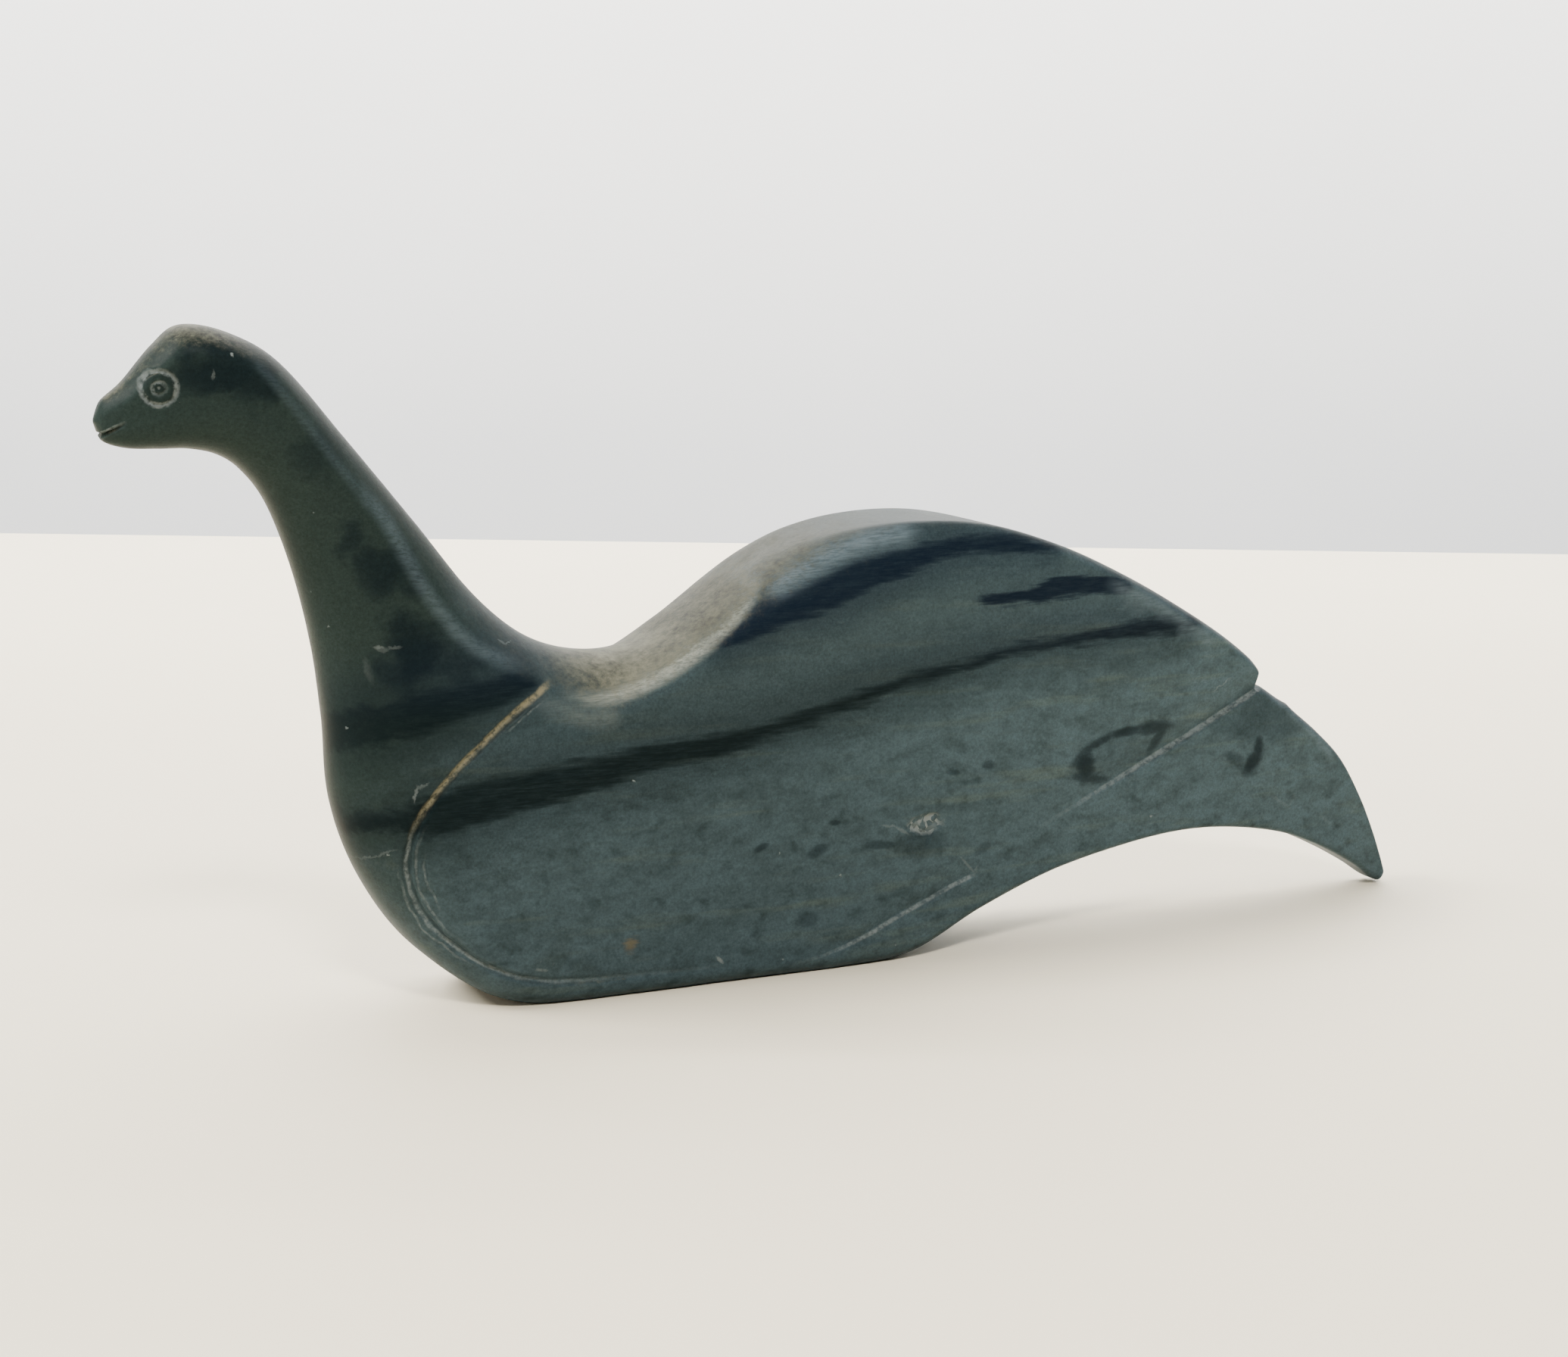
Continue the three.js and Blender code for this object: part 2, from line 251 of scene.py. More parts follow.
@dataclass(frozen=True)
class BirdForm:
    """The uncarved bird: rounded sections drawn round a row of ribs.

    Attributes:
        thickness: Across the flanks at the hump.
        back_spread: Width of the back's rounding for each millimetre of its height.
        belly_spread: The same for the belly's rounding.
        ridge_width: Least half width of the ridge and of the keel.
        ridge_share: The most that they take of a section's half width.
        rounded_share: The most of a rib that its two roundings take together.
        back_fullness: How far the back's rounding swells towards its corner.
        belly_fullness: The same for the belly's.
        end_radius: Radius of the rounded ends of the beak and the tail.
        end_stations: Extra stations in each rounded end.
        tip_stations: Extra stations at the wing tip.
        tip_reach: How far those run ahead of the tip and behind it.
        ground_ease: How softly the belly meets the plane it rests on.
        softest_share: The most of a section's girth that its edges are rubbed over.
        lean: How the flanks lean in beside the hump.
        wing_tip: The step where the wings end.
    """

    thickness: float = 20.0
    back_spread: float = 2.6
    belly_spread: float = 1.5
    ridge_width: float = 0.3
    ridge_share: float = 0.9
    rounded_share: float = 0.96
    back_fullness: float = 0.6
    belly_fullness: float = 0.8
    end_radius: float = 0.9
    end_stations: int = 16
    tip_stations: int = 40
    tip_reach: tuple[float, float] = (1.0, 0.6)
    ground_ease: float = 0.12
    softest_share: float = 0.022
    lean: Lean = field(default_factory=Lean)
    wing_tip: WingTip = field(default_factory=WingTip)

    def lines(self, t: np.ndarray) -> tuple[np.ndarray, np.ndarray]:
        """The full back line and the belly line, before the wing tip's step."""
        ribs = np.array(list(RIBS.values()))
        return catmull_rom(ribs[:, :2], t), catmull_rom(ribs[:, 2:], t)

    def stations(self, count: int) -> np.ndarray:
        """Spreads stations evenly along the bird, and closer at its ends and at the wing tip.

        Args:
            count: How many to spread evenly.

        Returns:
            Their places along the lines, from 0 to 1, in order.
        """
        fine = np.linspace(0, 1, LINE_STEPS)
        back, belly = self.lines(fine)
        run = (arc_length(back) + arc_length(belly)) / 2
        turn = self.end_radius * (1 - np.cos(np.linspace(0, math.pi / 2, self.end_stations)))
        tip = float(np.interp(self.wing_tip.x, back[:, 0], run))
        ahead, behind = self.tip_reach
        step = tip + np.linspace(-ahead, behind, self.tip_stations)
        places = np.concatenate([np.linspace(0, run[-1], count), turn, run[-1] - turn, step])
        places = np.unique(np.round(places, 3))
        return np.interp(places, run, fine)

    def drop(self, back_x: np.ndarray) -> np.ndarray:
        """How far the back line falls behind the wing tip.

        Args:
            back_x: The full back line's x at each station.

        Returns:
            The fall along the rib: a rounded step, then an even run out to the tail.
        """
        tip = self.wing_tip
        run_out = np.clip((tip.tail_meets - back_x) / (tip.tail_meets - tip.x), 0, 1.1)
        return tip.step * run_out * smoothstep(back_x, tip.rounds_from, tip.rounds_to)

    def half_sections(self, half: np.ndarray, back_x: np.ndarray) -> np.ndarray:
        """Draws half of each section, from its ridge down one flank to its keel.

        Args:
            half: Half the rib's length at each station.
            back_x: The full back line's x there.

        Returns:
            An array (station, point, 2) of the distance from the middle plane and the height along the rib.
        """
        width = profile(THICKNESS_SHARES, back_x) * self.thickness / 2
        back, belly = profile(BACK_ROUNDING, back_x), profile(BELLY_ROUNDING, back_x)
        fit = np.minimum(1, 2 * self.rounded_share * half / (back + belly))
        back, belly = fit * back, fit * belly
        back_edge, belly_edge = half - back, belly - half
        lean = self.lean
        inward = lean.inward * np.maximum(0, 1 - ((back_x - lean.centre) / lean.reach) ** 2)

        def flank(height: np.ndarray) -> np.ndarray:
            """The flank's distance from the middle plane at each height."""
            rise = np.maximum(0, (height - back_edge[:, None] + lean.height) / lean.height)
            return width[:, None] - inward[:, None] * rise**2

        top, bottom = flank(back_edge[:, None])[:, 0], flank(belly_edge[:, None])[:, 0]
        ridge = np.clip(width - self.back_spread * back, self.ridge_width, self.ridge_share * top)
        keel = np.clip(width - self.belly_spread * belly, self.ridge_width, self.ridge_share * bottom)
        t = np.linspace(0, 1, ROUNDING_STEPS)

        def rounding(start: tuple, corner: tuple, end: tuple) -> np.ndarray:
            """Rounds the corner between a flank and the back or the belly.

            Args:
                start: Where the rounding starts, as (distance, height) at each station.
                corner: The corner that it bends towards.
                end: Where it ends.

            Returns:
                An array (station, point, 2).
            """
            blend = [(1 - t) ** 2 * a[:, None] + 2 * t * (1 - t) * c[:, None] + t**2 * b[:, None]
                     for a, c, b in zip(start, corner, end)]
            return np.stack(blend, -1)

        back_corner = ridge + self.back_fullness * (top - ridge)
        belly_corner = keel + self.belly_fullness * (bottom - keel)
        heights = back_edge[:, None] + (belly_edge - back_edge)[:, None] * t[1:-1]
        crest = np.stack([np.zeros_like(half), half], -1)[:, None]
        return np.concatenate([
            crest,
            rounding((ridge, half), (back_corner, half), (top, back_edge)),
            np.stack([flank(heights), heights], -1),
            rounding((bottom, belly_edge), (belly_corner, -half), (keel, -half)),
            crest * [1, -1],
        ], axis=1)

    def softened(self, rings: np.ndarray, back_x: np.ndarray, around: int) -> np.ndarray:
        """Spaces each ring's points evenly and rubs its edges down.

        Args:
            rings: Closed rings (station, point, 2), without the repeated last point.
            back_x: The full back line's x at each station.
            around: Points that each new ring has.

        Returns:
            The new rings.
        """
        share = np.arange(around) / around
        made = np.empty((len(rings), around, 2))
        girth = np.empty(len(rings))
        for i, ring in enumerate(rings):
            closed = np.vstack([ring, ring[:1]])
            run = arc_length(closed)
            girth[i] = run[-1]
            for axis in (0, 1):
                made[i, :, axis] = np.interp(share * run[-1], run, closed[:, axis])
        spread = np.minimum(profile(SOFTNESS, back_x), self.softest_share * girth) / girth
        waves = np.fft.rfftfreq(around, 1 / around)
        keep = np.exp(-2 * (math.pi * waves[None] * spread[:, None]) ** 2)
        return np.fft.irfft(np.fft.rfft(made, axis=1) * keep[..., None], n=around, axis=1)

    def rings(self, density: Density) -> np.ndarray:
        """Places every section in the frame.

        Args:
            density: How many sections and points to make.

        Returns:
            An array (station, point, 3); the first and last rings are drawn in to a point.
        """
        t = self.stations(density.stations)
        back, belly = self.lines(t)
        back_x = back[:, 0].copy()
        along = back - belly
        along /= np.linalg.norm(along, axis=1)[:, None]
        back = back - along * self.drop(back_x)[:, None]
        middle, half = (back + belly) / 2, np.linalg.norm(back - belly, axis=1) / 2
        near = self.half_sections(half, back_x)
        far = near[:, -2:0:-1] * [-1, 1]
        sections = self.softened(np.concatenate([near, far], 1) * [-1, 1], back_x, density.around)
        run = arc_length(middle)
        for gap in (run, run[-1] - run):
            part = np.clip(gap / self.end_radius, 0, 1)
            sections *= np.sqrt(1 - (1 - part) ** 2)[:, None, None]
        across, height = sections[..., 0], sections[..., 1]
        x = middle[:, :1] + along[:, :1] * height
        z = middle[:, 1:] + along[:, 1:] * height
        z = (z + np.sqrt(z**2 + self.ground_ease**2)) / 2
        return np.stack([x, across, z], -1)

    def mesh(self, name: str, density: Density) -> bpy.types.Mesh:
        """Makes the closed skin, with a single point at each end.

        Args:
            name: The mesh's name.
            density: How many sections and points to make.

        Returns:
            The mesh, in metres, facing outwards.
        """
        rings = self.rings(density)
        inner = rings[1:-1]
        count, around = inner.shape[:2]
        points = np.vstack([inner.reshape(-1, 3), rings[0, :1], rings[-1, :1]]) * MM
        grid = np.arange(count * around).reshape(count, around)
        turned = np.roll(grid, -1, axis=1)
        quads = np.stack([grid[:-1], turned[:-1], turned[1:], grid[1:]], -1).reshape(-1, 4)
        first, last = len(points) - 2, len(points) - 1
        start = np.stack([np.full(around, first), turned[0], grid[0]], -1)
        end = np.stack([np.full(around, last), grid[-1], turned[-1]], -1)
        fans = np.vstack([start, end])
        if self.volume(points, quads) < 0:
            quads, fans = quads[:, ::-1], fans[:, ::-1]
        return polygons(name, points, [quads, fans])

    @staticmethod
    def volume(points: np.ndarray, quads: np.ndarray) -> float:
        """Measures the volume inside some quads, to tell which way they face.

        Args:
            points: The points.
            quads: The corners of each face.

        Returns:
            Six times the volume, less than 0 where they face inwards.
        """
        a, b, c, d = (points[quads[:, i]] for i in range(4))
        halves = np.cross(b, c) * a + np.cross(c, d) * a
        return float(halves.sum())


def polygons(name: str, points: np.ndarray, groups: list[np.ndarray]) -> bpy.types.Mesh:
    """Makes a mesh from points and groups of faces.

    Args:
        name: The mesh's name.
        points: The points, in metres.
        groups: Arrays of faces, each array with faces of one number of corners.

    Returns:
        The mesh, shaded smooth.
    """
    mesh = bpy.data.meshes.new(name)
    corners = np.concatenate([g.ravel() for g in groups]).astype(np.int32)
    totals = np.concatenate([np.full(len(g), g.shape[1]) for g in groups]).astype(np.int32)
    starts = np.concatenate([[0], np.cumsum(totals)[:-1]]).astype(np.int32)
    mesh.vertices.add(len(points))
    mesh.vertices.foreach_set("co", points.astype(np.float32).ravel())
    mesh.loops.add(len(corners))
    mesh.loops.foreach_set("vertex_index", corners)
    mesh.polygons.add(len(totals))
    mesh.polygons.foreach_set("loop_start", starts)
    mesh.polygons.foreach_set("loop_total", totals)
    mesh.update(calc_edges=True)
    mesh.validate()
    mesh.shade_smooth()
    return mesh


@dataclass(frozen=True)
class FlankLine:
    """A line on both flanks.

    Attributes:
        name: What it is called in attributes and inputs.
        path: Points (x, z) on the flank that a smooth curve runs through.
    """

    name: str
    path: Knots

    @property
    def across(self) -> str:
        """The attribute that holds the distance from the line, more than 0 on its lower side."""
        return f"{self.name}_across"

    @property
    def along(self) -> str:
        """The attribute that holds the share of the line's length."""
        return f"{self.name}_along"

    def measure(self, x: np.ndarray, z: np.ndarray) -> tuple[np.ndarray, np.ndarray]:
        """Finds how far points lie from the line and where along it.

        Args:
            x: The points' x.
            z: The points' z.

        Returns:
            The signed distances, up to REACH, and the shares of the line's length, or BEYOND.
        """
        line = catmull_rom(np.array(self.path, float), np.linspace(0, 1, STEPS_PER_KNOT * len(self.path)))
        run = arc_length(line)
        start, step = line[:-1], np.diff(line, axis=0)
        length = np.diff(run)
        low, high = line.min(0) - REACH, line.max(0) + REACH
        close = np.flatnonzero((x > low[0]) & (x < high[0]) & (z > low[1]) & (z < high[1]))
        across, along = np.full(len(x), REACH), np.full(len(x), BEYOND)
        for part in np.array_split(close, max(1, len(close) // POINTS_AT_ONCE)):
            dx = x[part, None] - start[None, :, 0]
            dz = z[part, None] - start[None, :, 1]
            t = np.clip((dx * step[:, 0] + dz * step[:, 1]) / length**2, 0, 1)
            gap = np.hypot(dx - t * step[:, 0], dz - t * step[:, 1])
            best = gap.argmin(1)
            rows = np.arange(len(part))
            side = step[best, 0] * dz[rows, best] - step[best, 1] * dx[rows, best]
            across[part] = -np.sign(side) * np.minimum(gap[rows, best], REACH)
            share = (run[best] + t[rows, best] * length[best]) / run[-1]
            along[part] = np.where(gap[rows, best] < REACH, share, BEYOND)
        return across, along


@dataclass(frozen=True)
class CarvedLine(FlankLine):
    """A line carved in both flanks.

    Attributes:
        depth: Depth of the cut.
        upper: How far the wall on the upper side reaches.
        lower: How far the wall on the lower side reaches.
        fade_in: Share of its length over which the cut deepens at its start.
        fade_out: The same at its end.
        ease: How the lower wall runs out: 1 is straight, more is hollow.
    """

    depth: float
    upper: float
    lower: float
    fade_in: float
    fade_out: float
    ease: float = 1.0


@dataclass(frozen=True)
class HighlightEdge(FlankLine):
    """An edge where a pale highlight is painted: the sheen that it catches from the lights.

    Attributes:
        half_width: Half the width of the pale streak.
        strength: How pale it is, from 0 to 1.
        fade_in: Share of its length over which it starts.
    """

    half_width: float
    strength: float
    fade_in: float = 0.16

    def mask(self, x: np.ndarray, z: np.ndarray) -> np.ndarray:
        """Measures how strongly the painted highlight shows at some points.

        Args:
            x: The points' x.
            z: The points' z.

        Returns:
            From 0 to 1 for each point.
        """
        across, along = self.measure(x, z)
        near = 1 - smoothstep(np.abs(across), 0, 1.6 * self.half_width)
        return self.strength * near * smoothstep(along, 0, self.fade_in) * (1 - smoothstep(along, 0.84, 1))


WING_LINE = CarvedLine(
    "wing",
    ((-36, 38), (-41, 34.6), (-45.5, 31), (-50, 26.8), (-53, 22.6), (-54, 18), (-53, 13.6), (-50, 9.2),
     (-45, 5.4), (-39, 3.3), (-33, 2.7), (-24, 2.5), (-14, 2.3)),
    depth=0.6, upper=0.6, lower=0.6, fade_in=0.1, fade_out=0.42)
TAIL_LINE = CarvedLine(
    "tail", ((75, 36.2), (57, 27.8), (51, 25), (45, 22.4), (39, 19.8), (33, 17.3), (26.5, 14.6)),
    depth=0.7, upper=0.45, lower=4.2, fade_in=0.02, fade_out=0.4, ease=1.7)
LEG_LINE = CarvedLine(
    "leg", ((18.2, 10), (13, 8.1), (7.5, 5.9), (2.5, 3.8), (-2.5, 2.3), (-7, 1.7)),
    depth=0.5, upper=0.4, lower=3.0, fade_in=0.06, fade_out=0.45, ease=1.7)
MOUTH_LINE = CarvedLine(
    "mouth", ((-87.4, 66.4), (-85.6, 66.95), (-84.4, 67.5), (-83.2, 68.15), (-82.2, 68.6)),
    depth=0.62, upper=0.24, lower=0.34, fade_in=0.02, fade_out=0.4)
LINES: tuple[CarvedLine, ...] = (WING_LINE, TAIL_LINE, LEG_LINE, MOUTH_LINE)

# Painted highlights: pale sheen painted along the edges and bevels that catch the light.
PAINTED_HIGHLIGHT = "painted_highlight"
HIGHLIGHT_EDGES: tuple[HighlightEdge, ...] = (
    HighlightEdge("nape", ((-70.2, 76.6), (-69, 75.3), (-66.4, 72.1), (-63.1, 67.6), (-59.3, 62.4), (-55.1, 57.4)),
             half_width=0.65, strength=0.14),
    HighlightEdge("neck", ((-59.3, 62.4), (-55.1, 57.4), (-52.5, 52.4), (-49.5, 47.1), (-45.3, 42.4), (-38.2, 39)),
             half_width=0.95, strength=0.27),
    HighlightEdge("saddle", ((-37, 36.5), (-32, 35.6), (-28.1, 36.2), (-23.4, 38), (-19.5, 40.2), (-15.7, 42.6)),
             half_width=1.0, strength=1.0, fade_in=0.5),
    HighlightEdge("hump_front", ((-19.5, 40.2), (-15.7, 42.6), (-12.4, 45.6), (-9.7, 48.6), (-6.6, 50.8), (-2.8, 52.4)),
             half_width=0.7, strength=0.85),
    HighlightEdge("hump", ((-11.5, 46.6), (-7.5, 48.2), (-2.4, 50.6), (1.8, 51.9), (6, 52.8), (11, 53.2)),
             half_width=1.7, strength=0.7),
    HighlightEdge("wing", ((35.5, 45.6), (38.2, 44.3), (42.6, 42.5), (46.4, 40.3), (50.3, 37.9), (54, 35.4)),
             half_width=0.9, strength=0.36),
    HighlightEdge("tail_back", ((61, 29.6), (62.7, 28.5), (67.3, 24.9), (71.6, 21.3), (75, 17.6)),
             half_width=0.55, strength=0.3),
    HighlightEdge("breast", ((-39.5, 36.2), (-37.3, 35.2), (-34.4, 34.1), (-31.3, 33.5), (-28, 33.2)),
             half_width=1.3, strength=0.14),
)


@dataclass(frozen=True)
class Scratch:
    """A shallow stray cut that runs beside the wing line.

    Attributes:
        offset: Its distance from the line, more than 0 on the wing's side.
        start: Share of the line's length where it starts.
        end: Share where it ends.
        half_width: Half its width.
    """

    offset: float
    start: float
    end: float
    half_width: float

    def run(self, graph: "Graph", along: "Term") -> "Term":
        """Fades the scratch in and out along its line.

        Args:
            graph: The tree to add to.
            along: The share of the line's length.

        Returns:
            Its strength there, from 0 to 1.
        """
        third = (self.end - self.start) / 3
        fade_in = graph.smooth(along, self.start, self.start + third)
        return fade_in * graph.smooth(along, self.end - third, self.end, 1, 0)


WING_SCRATCHES: tuple[Scratch, ...] = (
    Scratch(-0.95, 0.29, 0.55, 0.16),
    Scratch(-1.9, 0.34, 0.47, 0.13),
    Scratch(0.75, 0.36, 0.58, 0.13),
    Scratch(-0.9, 0.02, 0.12, 0.12),
)


@dataclass(frozen=True)
class Eye:
    """The eye: an outer ring and a smaller one round the pupil, cut in both flanks.

    Attributes:
        x: Its middle.
        z: Its middle.
        outer_radius: Radius of the outer ring.
        outer_half: Half its width.
        outer_depth: Depth of its cut.
        inner_radius: Radius of the smaller ring.
        inner_half: Half its width.
        inner_depth: Depth of its cut.
        pupil_radius: Radius of the pupil.
        pupil_depth: Its depth.
        dark_radius: Radius of the darker stone between the rings.
        iris_radius: Radius of the dark ring round the pupil.
        broken: The x - z from which the smaller ring fades and where it has faded.
    """

    x: float = -79.0
    z: float = 72.25
    outer_radius: float = 1.82
    outer_half: float = 0.4
    outer_depth: float = 0.3
    inner_radius: float = 0.72
    inner_half: float = 0.26
    inner_depth: float = 0.16
    pupil_radius: float = 0.2
    pupil_depth: float = 0.12
    dark_radius: float = 1.36
    iris_radius: float = 0.42
    broken: Point = (-151.5, -150.6)


@dataclass(frozen=True)
class Chip:
    """The pale mineral that has partly crumbled out of the near flank."""

    x: float = 11.0
    z: float = 17.0
    half_length: float = 2.7
    half_height: float = 1.35
    depth: float = 0.5
    grain: float = 0.7

    def out(self, graph: "Graph", place: object, x: "Term", z: "Term") -> "Term":
        """Measures how far out from the chip's middle a point is.

        Args:
            graph: The tree to add to.
            place: The point, in millimetres.
            x: Its x.
            z: Its z.

        Returns:
            The squared share of the chip's half size, made ragged.
        """
        rough = graph.noise(place, 0.55, 3, 0.6, 3.0) - 0.5
        return ((x - self.x) / self.half_length) ** 2 + ((z - self.z) / self.half_height) ** 2 + rough * 2.2


class Term:
    """A number in a node tree, which can be used in a Python expression."""

    def __init__(self, graph: "Graph", socket: bpy.types.NodeSocket) -> None:
        """Wraps a socket of a graph's tree."""
        self.graph = graph
        self.socket = socket

    def __add__(self, other: "Number") -> "Term":
        """self + other."""
        return self.graph.math("ADD", self, other)

    __radd__ = __add__

    def __sub__(self, other: "Number") -> "Term":
        """self - other."""
        return self.graph.math("SUBTRACT", self, other)

    def __rsub__(self, other: "Number") -> "Term":
        """other - self."""
        return self.graph.math("SUBTRACT", other, self)

    def __mul__(self, other: "Number") -> "Term":
        """self * other."""
        return self.graph.math("MULTIPLY", self, other)

    __rmul__ = __mul__

    def __truediv__(self, other: "Number") -> "Term":
        """self / other."""
        return self.graph.math("DIVIDE", self, other)

    def __pow__(self, other: "Number") -> "Term":
        """self raised to other."""
        return self.graph.math("POWER", self, other)

    def __neg__(self) -> "Term":
        """-self."""
        return self * -1.0

    def __abs__(self) -> "Term":
        """The size of self."""
        return self.graph.math("ABSOLUTE", self)


Number = Term | float | int


class Graph:
    """Adds nodes to one tree, of a material or of geometry."""

    def __init__(self, tree: bpy.types.NodeTree) -> None:
        """Starts with an empty tree."""
        self.tree = tree
        tree.nodes.clear()

    def feed(self, socket: bpy.types.NodeSocket, value: object) -> None:
        """Links a socket to a term or another socket, or sets its value.

        Args:
            socket: The node's input.
            value: A term, a socket or a plain value.
        """
        source = value.socket if isinstance(value, Term) else value
        if isinstance(source, bpy.types.NodeSocket):
            self.tree.links.new(source, socket)
        else:
            socket.default_value = source

    def add(self, kind: str, settings: dict | None = None, sockets: dict | None = None) -> bpy.types.Node:
        """Adds a node.

        Args:
            kind: The node's type.
            settings: Its own settings, set first.
            sockets: Values or links for its inputs, by name or number.

        Returns:
            The node.
        """
        node = self.tree.nodes.new(kind)
        for name, value in (settings or {}).items():
            setattr(node, name, value)
        for key, value in (sockets or {}).items():
            self.feed(node.inputs[key], value)
        return node

    def math(self, operation: str, *values: Number) -> Term:
        """One Math node on up to three numbers."""
        node = self.add("ShaderNodeMath", {"operation": operation}, dict(enumerate(values)))
        return Term(self, node.outputs[0])

    def highest(self, *values: Number) -> Term:
        """Finds the largest of some numbers.

        Args:
            values: The numbers.

        Returns:
            The largest.
        """
        result = values[0]
        for value in values[1:]:
            result = self.math("MAXIMUM", result, value)
        return result

    def vector(self, operation: str, *values: object) -> bpy.types.NodeSocket:
        """Adds one Vector Math node that gives a vector.

        Args:
            operation: What it does.
            values: Its vectors, or a vector and a scale.

        Returns:
            Its result.
        """
        sockets = dict(enumerate(values))
        if operation == "SCALE":
            sockets = {0: values[0], "Scale": values[1]}
        return self.add("ShaderNodeVectorMath", {"operation": operation}, sockets).outputs["Vector"]

    def measure(self, operation: str, *values: object) -> Term:
        """One Vector Math node that gives a number."""
        node = self.add("ShaderNodeVectorMath", {"operation": operation}, dict(enumerate(values)))
        return Term(self, node.outputs["Value"])

    def split(self, vector: bpy.types.NodeSocket) -> tuple[Term, Term, Term]:
        """A vector's three parts."""
        node = self.add("ShaderNodeSeparateXYZ", None, {0: vector})
        return tuple(Term(self, output) for output in node.outputs)

    def join(self, x: Number, y: Number, z: Number) -> bpy.types.NodeSocket:
        """A vector of three numbers."""
        return self.add("ShaderNodeCombineXYZ", None, {0: x, 1: y, 2: z}).outputs[0]

    def smooth(self, value: Number, low: float, high: float, start: float = 0.0, end: float = 1.0) -> Term:
        """A smooth change from start, where the value is low, to end, where it is high."""
        return self.ramp(value, low, high, start, end, "SMOOTHSTEP")

    def ramp(self, value: Number, low: float, high: float, start: float = 0.0, end: float = 1.0,
             kind: str = "LINEAR") -> Term:
        """Changes from one number to another while a value rises.

        Args:
            value: The value.
            low: Where the change starts.
            high: Where it ends.
            start: The result up to there.
            end: The result from there on.
            kind: The way between them.

        Returns:
            The result.
        """
        sockets = {"Value": value, "From Min": low, "From Max": high, "To Min": start, "To Max": end}
        node = self.add("ShaderNodeMapRange", {"interpolation_type": kind}, sockets)
        return Term(self, node.outputs["Result"])

    def noise(self, vector: object, scale: float = 1.0, detail: float = 2.0, roughness: float = 0.5,
              shift: float = 0.0) -> Term:
        """Soft noise about 0.5.

        Args:
            vector: Where it is read.
            scale: Its pitch, in waves for each unit of the vector.
            detail: How many finer layers it has.
            roughness: How strong they are.
            shift: Picks another pattern.

        Returns:
            The noise.
        """
        sockets = {"Vector": vector, "W": shift, "Scale": scale, "Detail": detail, "Roughness": roughness}
        node = self.add("ShaderNodeTexNoise", {"noise_dimensions": "4D"}, sockets)
        return Term(self, node.outputs[0])

    def bedded(self, place: object, length: float, height: float, detail: float, roughness: float,
               shift: float) -> Term:
        """Noise about 0.5 that is stretched along the stone's bedding.

        Args:
            place: Where it is read, in millimetres.
            length: The pattern's size along the bedding.
            height: Its size across it.
            detail: How many finer layers it has.
            roughness: How strong they are.
            shift: Picks another pattern.

        Returns:
            The noise.
        """
        turned = self.add("ShaderNodeMapping", {"vector_type": "POINT"}, {
            "Vector": place, "Rotation": (0.0, BEDDING_TILT, 0.0), "Scale": (1 / length, 1 / height, 1 / height)})
        return self.noise(turned.outputs[0], 1, detail, roughness, shift)

    def cells(self, vector: object, scale: float) -> tuple[Term, Term]:
        """Splits space into cells.

        Args:
            vector: Where they are read.
            scale: How many there are for each unit of the vector.

        Returns:
            The distance from each cell's centre, and a number of the cell's own.
        """
        node = self.add("ShaderNodeTexVoronoi", None, {"Vector": vector, "Scale": scale, "Randomness": 1.0})
        own = self.add("ShaderNodeSeparateXYZ", None, {0: node.outputs["Color"]})
        return Term(self, node.outputs["Distance"]), Term(self, own.outputs[0])

    def curve(self, value: Number, knots: Knots, low: float, high: float) -> Term:
        """A smooth curve through some knots.

        Args:
            value: Where it is read, in the knots' own units.
            knots: Its (place, height) knots, in order.
            low: The least height that it can show.
            high: The greatest.

        Returns:
            The curve's height.
        """
        first, last = knots[0][0], knots[-1][0]
        node = self.add("ShaderNodeFloatCurve")
        track = node.mapping.curves[0]
        shares = [((x - first) / (last - first), (y - low) / (high - low)) for x, y in knots]
        track.points[0].location, track.points[1].location = shares[0], shares[-1]
        for share in shares[1:-1]:
            track.points.new(*share)
        for point in track.points:
            point.handle_type = "AUTO_CLAMPED"
        node.mapping.update()
        self.feed(node.inputs["Value"], self.ramp(value, first, last))
        return Term(self, node.outputs[0]) * (high - low) + low

    def attribute(self, name: str) -> Term:
        """A number that the mesh holds at each point, in a material."""
        node = self.add("ShaderNodeAttribute", {"attribute_name": name})
        return Term(self, node.outputs["Fac"])

    def field(self, name: str) -> Term:
        """A number that the mesh holds at each point, in a geometry tree."""
        node = self.add("GeometryNodeInputNamedAttribute", {"data_type": "FLOAT"}, {"Name": name})
        return Term(self, node.outputs["Attribute"])

    def mix(self, share: Number, first: object, second: object, blend: str = "MIX") -> bpy.types.NodeSocket:
        """Mixes two colours.

        Args:
            share: How much of the second there is, from 0 to 1.
            first: A colour or a link.
            second: A colour or a link.
            blend: How they are mixed.

        Returns:
            The mixed colour.
        """
        colours = [(*c, 1.0) if isinstance(c, tuple) and len(c) == 3 else c for c in (first, second)]
        settings = {"data_type": "RGBA", "blend_type": blend, "clamp_factor": True}
        node = self.add("ShaderNodeMix", settings, {0: share, 6: colours[0], 7: colours[1]})
        return node.outputs[2]


